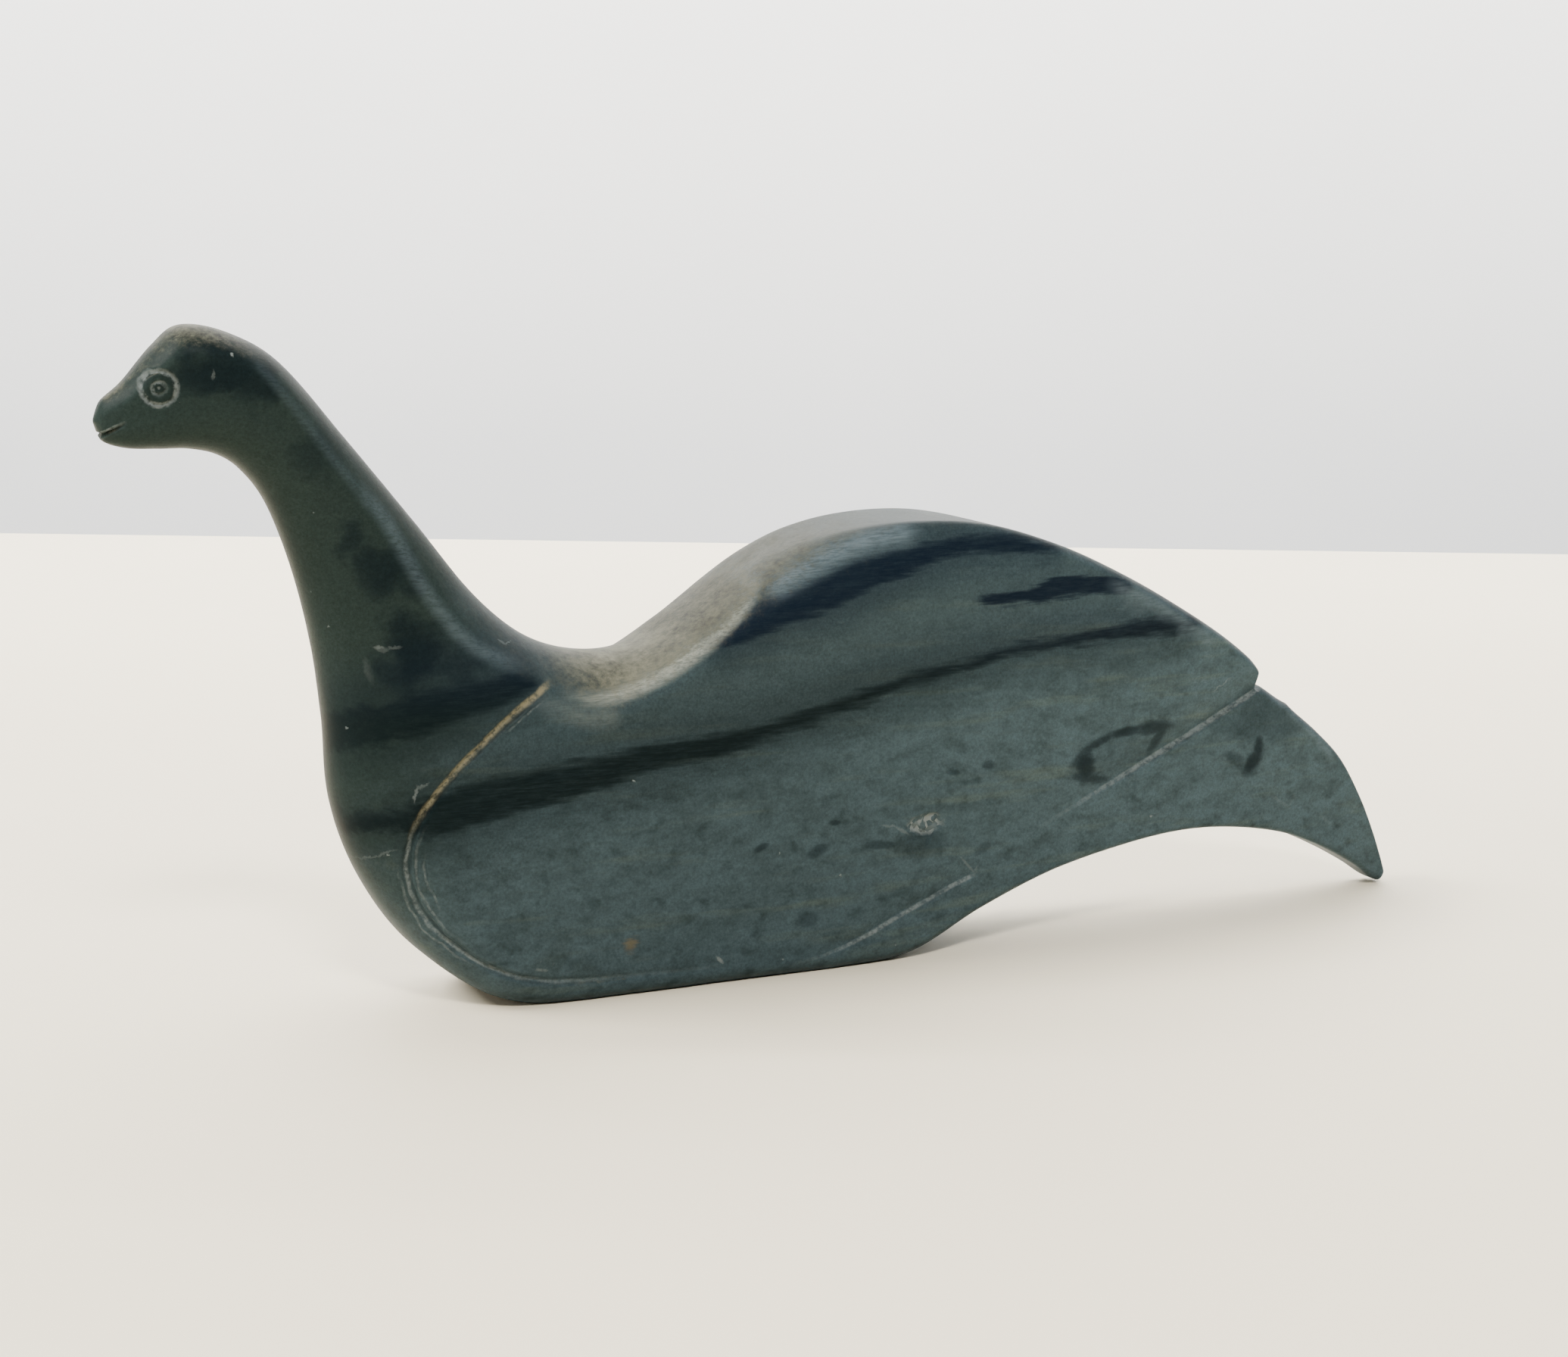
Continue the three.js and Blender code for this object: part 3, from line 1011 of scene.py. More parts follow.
@dataclass(frozen=True)
class Carving:
    """Cuts the carved lines, the eyes and the chip into the skin by Geometry Nodes.

    Attributes:
        eye: The eye's sizes.
        chip: The chip's sizes.
        wander: How far a cut strays sideways from its line.
        undulation: How far the hand-rubbed faces rise and fall.
        scratch_depth: Depth of the stray cuts beside the wing line.
        seed: Picks the pattern of everything that is uneven.
    """

    eye: Eye = field(default_factory=Eye)
    chip: Chip = field(default_factory=Chip)
    wander: float = 0.16
    undulation: float = 0.07
    scratch_depth: float = 0.11
    seed: float = 7.0

    def inputs(self) -> dict[str, float]:
        """Collects the sizes that the tree takes.

        Returns:
            Them by name, in millimetres where they are lengths.
        """
        values: dict[str, float] = {}
        for line in LINES:
            title = line.name.capitalize()
            values[f"{title} depth"] = line.depth
            values[f"{title} upper wall"] = line.upper
            values[f"{title} lower wall"] = line.lower
        values.update({
            "Eye radius": self.eye.outer_radius, "Eye depth": self.eye.outer_depth,
            "Pupil radius": self.eye.inner_radius, "Pupil depth": self.eye.inner_depth,
            "Chip depth": self.chip.depth, "Scratch depth": self.scratch_depth,
            "Wander": self.wander, "Undulation": self.undulation, "Seed": self.seed,
        })
        return values

    def groove(self, graph: Graph, line: CarvedLine, sizes: dict[str, Term], stray: Term) -> Term:
        """The depth that a carved line takes off at each point.

        Args:
            graph: The geometry tree.
            line: The line.
            sizes: The tree's inputs.
            stray: How far the cut wanders sideways there.

        Returns:
            The depth, in millimetres.
        """
        title = line.name.capitalize()
        across = graph.field(line.across) + stray
        along = graph.field(line.along)
        lower = graph.math("MAXIMUM", 1 - across / sizes[f"{title} lower wall"], 0) ** line.ease
        upper = graph.math("MAXIMUM", 1 + across / sizes[f"{title} upper wall"], 0)
        below = graph.math("GREATER_THAN", across, 0)
        wall = lower * below + upper * (1 - below)
        fade = graph.smooth(along, 0, line.fade_in) * graph.smooth(along, 1 - line.fade_out, 1, 1, 0)
        return wall * fade * sizes[f"{title} depth"]

    def scratches(self, graph: Graph, stray: Term, depth: Term) -> Term:
        """The depth that the stray cuts beside the wing line take off at each point.

        Args:
            graph: The geometry tree.
            stray: How far the cuts wander sideways there.
            depth: Their full depth.

        Returns:
            The depth, in millimetres.
        """
        across, along = graph.field(WING_LINE.across) + stray, graph.field(WING_LINE.along)
        walls = [graph.smooth(abs(across - scratch.offset), 0, scratch.half_width * 1.6, 1, 0)
                 * scratch.run(graph, along) for scratch in WING_SCRATCHES]
        return graph.highest(*walls) * depth

    def eyes(self, graph: Graph, x: Term, z: Term, sizes: dict[str, Term], stray: Term) -> Term:
        """The depth that the rings and the pupil of an eye take off at each point.

        Args:
            graph: The geometry tree.
            x: The point's x.
            z: Its z.
            sizes: The tree's inputs.
            stray: How far the cuts wander there.

        Returns:
            The depth, in millimetres.
        """
        radius = graph.math("SQRT", (x - self.eye.x) ** 2 + (z - self.eye.z) ** 2) + stray * 0.6
        outer = graph.smooth(abs(radius - sizes["Eye radius"]), 0, self.eye.outer_half, 1, 0)
        inner = graph.smooth(abs(radius - sizes["Pupil radius"]), 0, self.eye.inner_half, 1, 0)
        pupil = graph.smooth(radius, 0, self.eye.pupil_radius * 1.5, 1, 0)
        return graph.highest(outer * sizes["Eye depth"], inner * sizes["Pupil depth"],
                             pupil * self.eye.pupil_depth)

    def crumble(self, graph: Graph, place: object, x: Term, y: Term, z: Term, sizes: dict[str, Term]) -> Term:
        """The depth that the chip, a shallow hollow broken into grains, takes off at each point.

        Args:
            graph: The geometry tree.
            place: The point, in millimetres.
            x: Its x.
            y: Its y.
            z: Its z.
            sizes: The tree's inputs.

        Returns:
            The depth, in millimetres.
        """
        own = graph.cells(place, 1 / self.chip.grain)[1]
        hollow = graph.smooth(self.chip.out(graph, place, x, z), 0.45, 1.15, 1, 0) * graph.math("LESS_THAN", y, 0)
        return hollow * (0.35 + own * 0.65) * sizes["Chip depth"]

    def tree(self) -> bpy.types.NodeTree:
        """Builds the tree.

        Returns:
            A geometry tree whose inputs are the skin, the sizes and the material.
        """
        tree = bpy.data.node_groups.new("Carving", "GeometryNodeTree")
        graph = Graph(tree)
        face = tree.interface
        face.new_socket("Geometry", in_out="OUTPUT", socket_type="NodeSocketGeometry")
        face.new_socket("Geometry", in_out="INPUT", socket_type="NodeSocketGeometry")
        for name, value in self.inputs().items():
            face.new_socket(name, in_out="INPUT", socket_type="NodeSocketFloat").default_value = value
        face.new_socket("Material", in_out="INPUT", socket_type="NodeSocketMaterial")
        given = graph.add("NodeGroupInput").outputs
        sizes = {name: Term(graph, given[name]) for name in self.inputs()}

        position = graph.add("GeometryNodeInputPosition").outputs[0]
        place = graph.vector("SCALE", position, 1 / MM)
        x, y, z = graph.split(place)
        waver = self.uneven(graph, place, 0.45, sizes["Seed"]) * sizes["Wander"]
        cut = graph.highest(*(self.groove(graph, line, sizes, waver) for line in LINES),
                            self.scratches(graph, waver, sizes["Scratch depth"]),
                            self.eyes(graph, x, z, sizes, waver),
                            self.crumble(graph, place, x, y, z, sizes))
        swell = self.uneven(graph, place, 0.085, sizes["Seed"] + 5) * sizes["Undulation"]
        normal = graph.add("GeometryNodeInputNormal").outputs[0]
        inwards = (cut + graph.math("MAXIMUM", swell, 0)) * -MM
        shift = graph.vector("SCALE", normal, inwards)
        moved = graph.add("GeometryNodeSetPosition", None, {"Geometry": given["Geometry"], "Offset": shift})
        real = graph.add("GeometryNodeRealizeInstances", None, {0: moved.outputs[0]})
        dressed = graph.add("GeometryNodeSetMaterial", None,
                            {"Geometry": real.outputs[0], "Material": given["Material"]})
        graph.add("NodeGroupOutput", None, {0: dressed.outputs[0]})
        return tree

    @staticmethod
    def uneven(graph: Graph, place: object, scale: float, seed: Term) -> Term:
        """Adds noise from about -1 to 1.

        Args:
            graph: The geometry tree.
            place: The point, in millimetres.
            scale: How many waves it has for each millimetre.
            seed: Picks the pattern.

        Returns:
            The noise.
        """
        node = graph.add("ShaderNodeTexNoise", {"noise_dimensions": "4D"},
                         {"Vector": place, "W": seed, "Scale": scale, "Detail": 2.0})
        return (Term(graph, node.outputs[0]) - 0.5) * 3.2

    def apply(self, blank: bpy.types.Object, material: bpy.types.Material, density: Density,
              name: str) -> bpy.types.Object:
        """Carves a skin and makes the result a plain mesh.

        Args:
            blank: The uncarved skin, with its line attributes. It is removed.
            material: The stone.
            density: How many triangles to keep.
            name: The new piece's name.

        Returns:
            The carved piece.
        """
        tree = self.tree()
        modifier = blank.modifiers.new("Carving", "NODES")
        modifier.node_group = tree
        values = {**self.inputs(), "Material": material}
        for item in tree.interface.items_tree:
            if item.in_out == "INPUT" and item.name in values:
                modifier[item.identifier] = values[item.name]
        if density.triangles:
            full = 2 * len(blank.data.polygons)
            thin = blank.modifiers.new("Thin", "DECIMATE")
            thin.ratio = density.triangles / full
            thin.use_collapse_triangulate = True
        graph = bpy.context.evaluated_depsgraph_get()
        mesh = bpy.data.meshes.new_from_object(blank.evaluated_get(graph), depsgraph=graph)
        blank.modifiers.clear()
        old = blank.data
        bpy.data.objects.remove(blank)
        bpy.data.meshes.remove(old)
        mesh.name = name
        mesh.shade_smooth()
        piece = bpy.data.objects.new(name, mesh)
        bpy.context.scene.collection.objects.link(piece)
        return piece


def write(mesh: bpy.types.Mesh, name: str, values: np.ndarray) -> None:
    """Writes one number for each point into a mesh."""
    layer = mesh.attributes.get(name) or mesh.attributes.new(name, "FLOAT", "POINT")
    layer.data.foreach_set("value", values.astype(np.float32))


def flank_places(mesh: bpy.types.Mesh) -> tuple[np.ndarray, np.ndarray]:
    """Reads where a mesh's points lie on the flanks.

    Args:
        mesh: The mesh, in metres.

    Returns:
        Their x and their z, in millimetres.
    """
    points = np.empty(len(mesh.vertices) * 3, np.float32)
    mesh.vertices.foreach_get("co", points)
    x, _, z = points.reshape(-1, 3).T / MM
    return x, z


def write_lines(mesh: bpy.types.Mesh) -> None:
    """Writes each carved line's distance and run into a mesh as point attributes.

    Args:
        mesh: The mesh, in metres.
    """
    x, z = flank_places(mesh)
    for line in LINES:
        for name, values in zip((line.across, line.along), line.measure(x, z)):
            write(mesh, name, values)


def write_highlights(mesh: bpy.types.Mesh) -> None:
    """Writes how strongly the painted highlight shows at each point into a mesh.

    Args:
        mesh: The mesh, in metres.
    """
    x, z = flank_places(mesh)
    write(mesh, PAINTED_HIGHLIGHT, np.max([edge.mask(x, z) for edge in HIGHLIGHT_EDGES], axis=0))


@dataclass(frozen=True)
class Band:
    """A dark band in the stone's bedding.

    Attributes:
        centre: Knots (x, z) of its middle line on the near flank.
        half: Knots (x, half height).
        soft: How softly its edges fade.
        strength: How dark it is, from 0 to 1.
        halo: How dark the stone beside it is, as a share of that.
    """

    centre: Knots
    half: Knots
    soft: float
    strength: float
    halo: float


MAIN_BAND = Band(
    centre=((-62, 22.3), (-56, 23), (-51, 23.7), (-45, 24.9), (-38, 25.9), (-30, 27.4), (-20, 28.7), (-9, 30.7),
            (5, 34.2), (15, 36.2), (28, 38), (41, 38.9), (52, 39.3)),
    half=((-62, 1.0), (-55, 1.5), (-52, 2.6), (-48, 2.9), (-40, 2.8), (-30, 2.2), (-18, 1.8), (-9, 1.5), (5, 1.2),
          (20, 1.1), (34, 1.2), (45, 1.5), (52, 1.0)),
    soft=2.5, strength=0.98, halo=0.5)
CHEST_BAND = Band(
    centre=((-63, 33.1), (-60, 33.4), (-56.7, 34.3), (-52, 35.4), (-47, 36.4), (-43, 37.2), (-40, 38), (-36.5, 38.1)),
    half=((-63, 1.3), (-60, 2.2), (-56.7, 3.0), (-52, 2.9), (-47, 2.7), (-43, 2.4), (-40, 1.8), (-36.5, 0.4)),
    soft=3.0, strength=0.93, halo=0.55)
HUMP_BAND = Band(
    centre=((-19, 40.2), (-16, 41.2), (-12, 43), (-8, 44.8), (-3, 46), (2, 47.6), (8, 49.4), (14, 50.7), (20, 51),
            (26, 50.3), (31, 49.4)),
    half=((-19, 0.0), (-16, 0.9), (-12, 1.9), (-8, 2.3), (-3, 2.3), (2, 2.2), (8, 1.9), (14, 1.6), (20, 1.4),
          (26, 1.2), (31, 0.2)),
    soft=1.9, strength=0.92, halo=0.5)
LENS_BAND = Band(
    centre=((16.5, 44), (20, 44), (25, 44.4), (31, 45.1), (36, 44.9), (41, 44.2)),
    half=((16.5, 0.2), (20, 0.8), (25, 1.15), (31, 1.35), (36, 1.2), (41, 0.4)),
    soft=1.1, strength=0.95, halo=0.25)
BANDS: tuple[Band, ...] = (MAIN_BAND, CHEST_BAND, HUMP_BAND, LENS_BAND)


@dataclass(frozen=True)
class Mark:
    """An oval mark on the near flank.

    Attributes:
        x: Its middle.
        z: Its middle.
        half_length: Half its length.
        half_width: Half its width.
        strength: How strong it is in the middle, from 0 to 1.
        turn: How far its length is turned from the X axis towards Z, in radians.
    """

    x: float
    z: float
    half_length: float
    half_width: float
    strength: float
    turn: float = 0.0

    @classmethod
    def stroke(cls, x: float, z: float, end_x: float, end_z: float, half_width: float, strength: float) -> "Mark":
        """Makes the thin mark that runs from one point to another.

        Args:
            x: The first point's x.
            z: Its z.
            end_x: The other point's x.
            end_z: Its z.
            half_width: Half the mark's width.
            strength: How strong it is in the middle, from 0 to 1.

        Returns:
            The mark.
        """
        turn = math.atan2(end_z - z, end_x - x)
        half_length = math.hypot(end_x - x, end_z - z) / 2 + half_width
        return cls((x + end_x) / 2, (z + end_z) / 2, half_length, half_width, strength, turn)

    @classmethod
    def dot(cls, x: float, z: float, radius: float, strength: float) -> "Mark":
        """A round mark."""
        return cls(x, z, radius, radius, strength)

    def rows(self) -> tuple[Colour, Colour]:
        """Works out what turns (x, 1, z) into the place along and across the oval.

        Returns:
            Two rows for a dot product, each of which gives 1 at the rim.
        """
        c, s = math.cos(self.turn), math.sin(self.turn)
        along = (c / self.half_length, -(c * self.x + s * self.z) / self.half_length, s / self.half_length)
        across = (-s / self.half_width, (s * self.x - c * self.z) / self.half_width, c / self.half_width)
        return along, across


# Thin marks, each (x, z, end x, end z, half width, strength).
PALE_STROKES = (
    (-56.5, 42.9, -55.6, 42.7, 0.3, 0.42), (-55.3, 42.7, -53.9, 42.9, 0.16, 0.24),
    (-57.7, 41.4, -57.2, 39.4, 0.4, 0.1), (-53.1, 25.6, -52.8, 26.9, 0.22, 0.5),
    (-52.8, 26.9, -51.6, 27.4, 0.16, 0.3), (-58.4, 18.2, -55.2, 19.8, 0.16, 0.22),
    (-42.0, 42.7, -41.2, 42.2, 0.12, 0.35), (-41.2, 42.2, -40.4, 42.4, 0.12, 0.35),
    (15.8, 12.3, 17.9, 10.0, 0.16, 0.28), (17.9, 10.0, 18.3, 10.9, 0.14, 0.2), (53.3, 29.7, 55.9, 31.4, 0.13, 0.35),
    (63.7, 14.9, 66.9, 12.9, 0.28, 0.16), (66.9, 12.9, 67.7, 14.3, 0.22, 0.14), (72.6, 11.0, 74.4, 9.7, 0.25, 0.14),
    (10.0, 17.1, 10.3, 17.6, 0.3, 1.0), (8.7, 16.5, 9.4, 16.9, 0.22, 0.9), (-16.9, 3.4, -16.4, 2.9, 0.24, 0.85),
    (4.9, 17.4, 6.6, 17.1, 0.2, 0.3), (6.6, 17.1, 8.2, 16.1, 0.22, 0.35), (-73.3, 73.9, -73.4, 73.2, 0.18, 0.3),
)
DARK_STROKES = (
    (33.6, 22.4, 34.0, 21.4, 1.55, 0.95), (32.3, 22.4, 34.4, 24.2, 0.8, 0.75), (34.2, 24.2, 37.6, 25.5, 0.55, 0.8),
    (37.6, 25.5, 42.1, 26.0, 0.65, 0.85), (42.1, 25.9, 46.2, 26.0, 0.95, 0.85), (46.0, 25.9, 44.0, 22.9, 0.8, 0.75),
    (32.4, 20.9, 37.0, 19.9, 0.75, 0.75), (61.1, 22.3, 61.0, 20.4, 0.75, 0.9), (60.9, 20.5, 59.6, 19.0, 1.05, 0.95),
    (58.8, 19.6, 56.4, 21.1, 0.8, 0.55), (-4.6, 14.9, -3.2, 15.4, 0.65, 0.6), (2.9, 15.2, 6.3, 14.8, 0.5, 0.6),
    (-11.8, 16.1, -10.8, 16.5, 0.4, 0.7), (-2.0, 18.4, -1.3, 18.3, 0.4, 0.7), (19.2, 23.6, 19.8, 23.5, 0.55, 0.6),
    (14.0, 23.2, 15.0, 23.0, 0.4, 0.5), (-5.8, 6.9, -4.8, 6.8, 0.9, 0.45), (8.8, 14.2, 10.2, 14.1, 0.7, 0.5),
    (18.3, 12.8, 19.5, 13.2, 0.6, 0.4),
)
# Round marks, each (x, z, radius, strength).
PALE_DOTS = (
    (-59.6, 33.7, 0.16, 0.7), (-55.8, 19.1, 0.16, 0.7), (-61.3, 45.3, 0.13, 0.6), (-71.2, 75.7, 0.2, 1.0),
    (44.4, 14.3, 0.2, 1.0), (-27.3, 25.8, 0.15, 0.9), (-0.8, 11.8, 0.15, 0.9), (-8.9, 15.4, 0.13, 0.9),
)
PALE_MARKS = tuple(Mark.stroke(*row) for row in PALE_STROKES) + tuple(Mark.dot(*row) for row in PALE_DOTS)
DARK_MARKS = tuple(Mark.stroke(*row) for row in DARK_STROKES) + (
    Mark(39.5, 23.2, 6.0, 2.6, 0.22, 0.2),
    Mark(10.2, 14.5, 3.4, 1.7, 0.5),
)
DARK_PATCHES: tuple[Mark, ...] = (
    Mark(-72.8, 74.2, 5.2, 2.9, 0.85),
    Mark(-69.0, 72.6, 2.6, 3.0, 0.75),
    Mark(-76.2, 72.6, 2.2, 1.6, 0.35),
    Mark(-62.6, 64.8, 2.8, 2.4, 0.4),
    Mark(-58.6, 55.0, 2.1, 1.9, 0.6),
    Mark(-55.0, 50.9, 3.3, 3.4, 0.75),
    Mark(-52.6, 42.0, 4.0, 3.4, 0.85),
    Mark(-47.5, 41.0, 3.4, 1.8, 0.5),
    Mark(-57.6, 23.4, 3.8, 1.5, 0.7),
    Mark(62.0, 25.5, 7.0, 3.0, 0.42),
)


@dataclass(frozen=True)
class Spot:
    """The point that is shaded, and how uneven the stone is there.

    Attributes:
        graph: The material's tree.
        place: Where the point is, in millimetres.
        x: Its x.
        y: Its y.
        z: Its z.
        near: 1 on the near flank, 0 on the far one.
        coarse: Wide unevenness along the bedding, about 0.
        fine: Narrow unevenness along it, about 0.
        ragged: What frays the edges of the bands, about 0.
        hairs: Thin strokes along the bedding, about 0.5.
    """

    graph: Graph
    place: bpy.types.NodeSocket
    x: Term
    y: Term
    z: Term
    near: Term
    coarse: Term
    fine: Term
    ragged: Term
    hairs: Term

    @classmethod
    def read(cls, graph: Graph) -> "Spot":
        """Adds the nodes that find the point.

        Args:
            graph: The material's tree.

        Returns:
            The point, from Object coordinates.
        """
        place = graph.vector("SCALE", graph.add("ShaderNodeTexCoord").outputs["Object"], 1 / MM)
        x, y, z = graph.split(place)
        return cls(graph, place, x, y, z, near=graph.smooth(y, -1.5, 1.0, 1, 0),
                   coarse=graph.bedded(place, 16, 5, 3, 0.55, 1.0) - 0.5,
                   fine=graph.bedded(place, 4.5, 0.7, 4, 0.6, 5.0) - 0.5,
                   ragged=graph.bedded(place, 10, 0.9, 3, 0.6, 8.0) - 0.5,
                   hairs=graph.bedded(place, 2.6, 0.22, 3, 0.7, 71.0))


@dataclass(frozen=True)
class Shares:
    """How much of each tone shows where its mask is full, from 0 to 1."""

    streaks: float = 0.7
    upper: float = 0.6
    speckles: float = 0.42
    dark_marks: float = 0.88
    eye_dark: float = 0.7
    eye_rings: float = 0.62
    cuts: float = 0.6
    stray_cuts: float = 0.55
    sand: float = 0.75
    rust: float = 0.55
    # The warm tone on the faces that look up: partly dust, partly painted light from above.
    dust_and_top_light: float = 0.9
    specks: float = 0.5
    scratches: float = 0.75
    mineral: float = 0.9


@dataclass(frozen=True)
class Gloss:
    """How the rubbed stone shines.

    Attributes:
        roughness: The roughness of plain stone.
        grain: How much the grain changes it.
        bands: How much smoother the bands are.
        scraped: How much rougher scraped stone is.
        sand: How much rougher the sandy dust is.
        dust_and_top_light: How much rougher the faces painted with dust and light from above are.
        refraction: The index of refraction.
        specular: How strongly it mirrors.
        bump: How high the grain stands, in metres.
        bump_strength: How strongly it shows.
    """

    roughness: float = 0.42
    grain: float = 0.16
    bands: float = 0.04
    scraped: float = 0.25
    sand: float = 0.3
    dust_and_top_light: float = 0.04
    refraction: float = 1.5
    specular: float = 0.03
    bump: float = 0.00006
    bump_strength: float = 0.5


@dataclass(frozen=True)
class Soapstone:
    """Rubbed, faintly waxed dark green-grey soapstone with near-black bedding bands.

    Attributes:
        eye: The eye's sizes, for its pale scraped rings.
        chip: The chip's sizes, for its pale mineral.
        body: The stone's usual colour.
        shade: The darker colour that it is mottled with.
        pale: The paler streaks.
        neck: The darker, greener stone of the neck.
        band: The bands.
        navy: The bands where they are bluest.
        blotch: The dark patches of the neck and head.
        speckle: The small dark spots.
        sheen: The painted highlight along the edges that catch the light.
        saddle_highlight: The paler painted highlight on the saddle's edges.
        scraped: Freshly scraped stone.
        sand: The dust in the upper wing lines.
        dust_and_top_light: The warm tone of the faces that look up: partly dust, partly painted light from above.
        rust: The one rusty fleck.
        fleck: The fleck's place on the flank, (x, 1, z).
        bands_from: How far in front of the middle plane the bands' knots lie.
        bands_shift: How far the bands move in x and in z for each millimetre through the slab.
        shares: How much of each tone shows.
        gloss: How the stone shines.
    """

    eye: Eye = field(default_factory=Eye)
    chip: Chip = field(default_factory=Chip)
    body: Colour = linear("374449")
    shade: Colour = linear("2c373a")
    pale: Colour = linear("3f4946")
    neck: Colour = linear("202a28")
    band: Colour = linear("091315")
    navy: Colour = linear("08121f")
    blotch: Colour = linear("0b1519")
    speckle: Colour = linear("111a19")
    # Painted highlight colours: the first for the edges that catch the light, the second, paler, for the saddle's
    # edges.
    sheen: Colour = linear("65737b")
    saddle_highlight: Colour = linear("8e9289")
    scraped: Colour = linear("6f7675")
    sand: Colour = linear("7d7760")
    # Partly dust, partly painted light from above on the faces that look up.
    dust_and_top_light: Colour = linear("4d4c40")
    rust: Colour = linear("5b5038")
    fleck: Colour = (-28.0, 1.0, 6.3)
    bands_from: float = 9.0
    bands_shift: Point = (0.3, 0.12)
    shares: Shares = field(default_factory=Shares)
    gloss: Gloss = field(default_factory=Gloss)

    def band_mask(self, graph: Graph, band: Band, x: Term, z: Term) -> Term:
        """Measures how far inside a band a point lies.

        Args:
            graph: The material's tree.
            band: The band.
            x: The point's x, shifted as the band runs through the stone.
            z: Its z, shifted too.

        Returns:
            From 0 to 1.
        """
        heights = [h for _, h in band.centre]
        centre = graph.curve(x, band.centre, min(heights), max(heights))
        half = graph.curve(x, band.half, 0.0, max(h for _, h in band.half))
        depth = half - abs(z - centre)
        inside = graph.highest(graph.smooth(depth, -band.soft * 0.5, band.soft * 0.5),
                               graph.smooth(depth, -band.soft * 2.6, band.soft * 0.4) * band.halo)
        first, last = band.half[0][0], band.half[-1][0]
        reach = graph.smooth(x, first - 0.5, first + 2.0) * graph.smooth(x, last - 2.0, last + 0.5, 1, 0)
        return inside * reach * band.strength

    def marks(self, graph: Graph, flat: object, marks: tuple[Mark, ...], low: float, high: float) -> Term:
        """Finds the strongest of some marks at a point.

        Args:
            graph: The material's tree.
            flat: The place on the flank, as a vector (x, 1, z).
            marks: The marks.
            low: The squared share of its size where a mark starts to fade.
            high: The squared share where it ends.

        Returns:
            Its strength, from 0 to 1.
        """
        masks = []
        for mark in marks:
            along, across = (graph.measure("DOT_PRODUCT", flat, row) for row in mark.rows())
            out = graph.math("MULTIPLY_ADD", along, along, across * across)
            masks.append(graph.smooth(out, low, high, mark.strength, 0))
        return graph.highest(*masks)

    def line_marks(self, spot: Spot) -> tuple[Term, Term]:
        """Finds the scraped stone and the sandy dust that lie in the carved lines.

        Args:
            spot: The point.

        Returns:
            The masks of pale scraped stone and of sandy dust.
        """
        graph = spot.graph
        broken = graph.noise(spot.place, 1.7, 3, 0.65, 2.0)
        drift = (graph.noise(spot.place, 0.45, 2, 0.5, 9.0) - 0.5) * 0.5
        wing = graph.attribute(WING_LINE.across) + drift * 0.5
        run = graph.attribute(WING_LINE.along)
        sandy = graph.smooth(abs(wing - 0.08 + drift * 0.4), 0.12, 0.54, 1, 0)
        sandy = sandy * graph.smooth(run, 0.0, 0.03) * graph.smooth(run, 0.25, 0.34, 1, 0)
        sandy = sandy * graph.smooth(broken, 0.34, 0.6, 0.25, 1)
        white = graph.smooth(abs(wing + drift), 0.05, 0.36, 1, 0)
        white = white * graph.smooth(run, 0.27, 0.36) * graph.smooth(run, 0.5, 0.92, 1, 0.12)
        white = white * graph.smooth(run, 0.93, 1.0, 1, 0)
        stray = []
        for scratch in WING_SCRATCHES:
            gap = abs(wing + drift * 1.6 - scratch.offset)
            mask = graph.smooth(gap, 0.4 * scratch.half_width, 1.5 * scratch.half_width, 1, 0)
            stray.append(mask * scratch.run(graph, run))
        masks = [white, graph.highest(*stray) * self.shares.stray_cuts]
        for line, width, reach in ((TAIL_LINE, 0.42, 0.93), (LEG_LINE, 0.32, 0.9), (MOUTH_LINE, 0.26, 0.95)):
            across = graph.attribute(line.across) + drift * 0.4
            along = graph.attribute(line.along)
            mask = graph.smooth(abs(across + 0.12), 0.25 * width, width, 1, 0)
            masks.append(mask * graph.smooth(along, 0.0, 0.03) * graph.smooth(along, reach - 0.25, 1, 1, 0.1)
                         * graph.smooth(along, 0.96, 1.0, 1, 0))
        return graph.highest(*masks) * graph.smooth(broken, 0.34, 0.66, 0.18, 1), sandy

    def eye_marks(self, spot: Spot) -> tuple[Term, Term]:
        """Finds the scraped rings of the eye and the dark between them.

        Args:
            spot: The point.

        Returns:
            The masks of pale scraped stone and of darkened stone.
        """
        graph, eye = spot.graph, self.eye
        uneven = graph.noise(spot.place, 1.5, 3, 0.6, 4.0)
        radius = graph.math("SQRT", (spot.x - eye.x) ** 2 + (spot.z - eye.z) ** 2) + (uneven - 0.5) * 0.75
        outer = graph.smooth(abs(radius - eye.outer_radius), 0.08, 0.4, 1, 0)
        inner = graph.smooth(abs(radius - eye.inner_radius), 0.04, 0.26, 1, 0)
        inner = inner * graph.smooth(spot.x - spot.z, *eye.broken, 0.75, 0.3)
        centre = graph.smooth(radius, 0.1, 0.3, 0.7, 0)
        pale = graph.highest(outer, inner) * graph.smooth(uneven, 0.32, 0.6, 0.42, 1)
        between = graph.smooth(abs(radius - eye.dark_radius), 0.15, 0.5, 1, 0)
        ring = graph.smooth(abs(radius - eye.iris_radius), 0.08, 0.24, 0.8, 0)
        return graph.highest(pale, centre), graph.highest(ring, between * 0.6)

    def material(self) -> bpy.types.Material:
        """Builds the stone's material.

        Returns:
            The material, on Object coordinates and the carved lines' attributes.
        """
        material = bpy.data.materials.new(SLOT)
        material.use_nodes = True
        graph = Graph(material.node_tree)
        spot = Spot.read(graph)
        shares, gloss = self.shares, self.gloss
        deep = spot.y + self.bands_from
        shifted_x = spot.x + deep * self.bands_shift[0]
        shifted_z = spot.z + deep * self.bands_shift[1] + spot.coarse * 1.6 + spot.fine * 1.9 + spot.ragged * 2.2

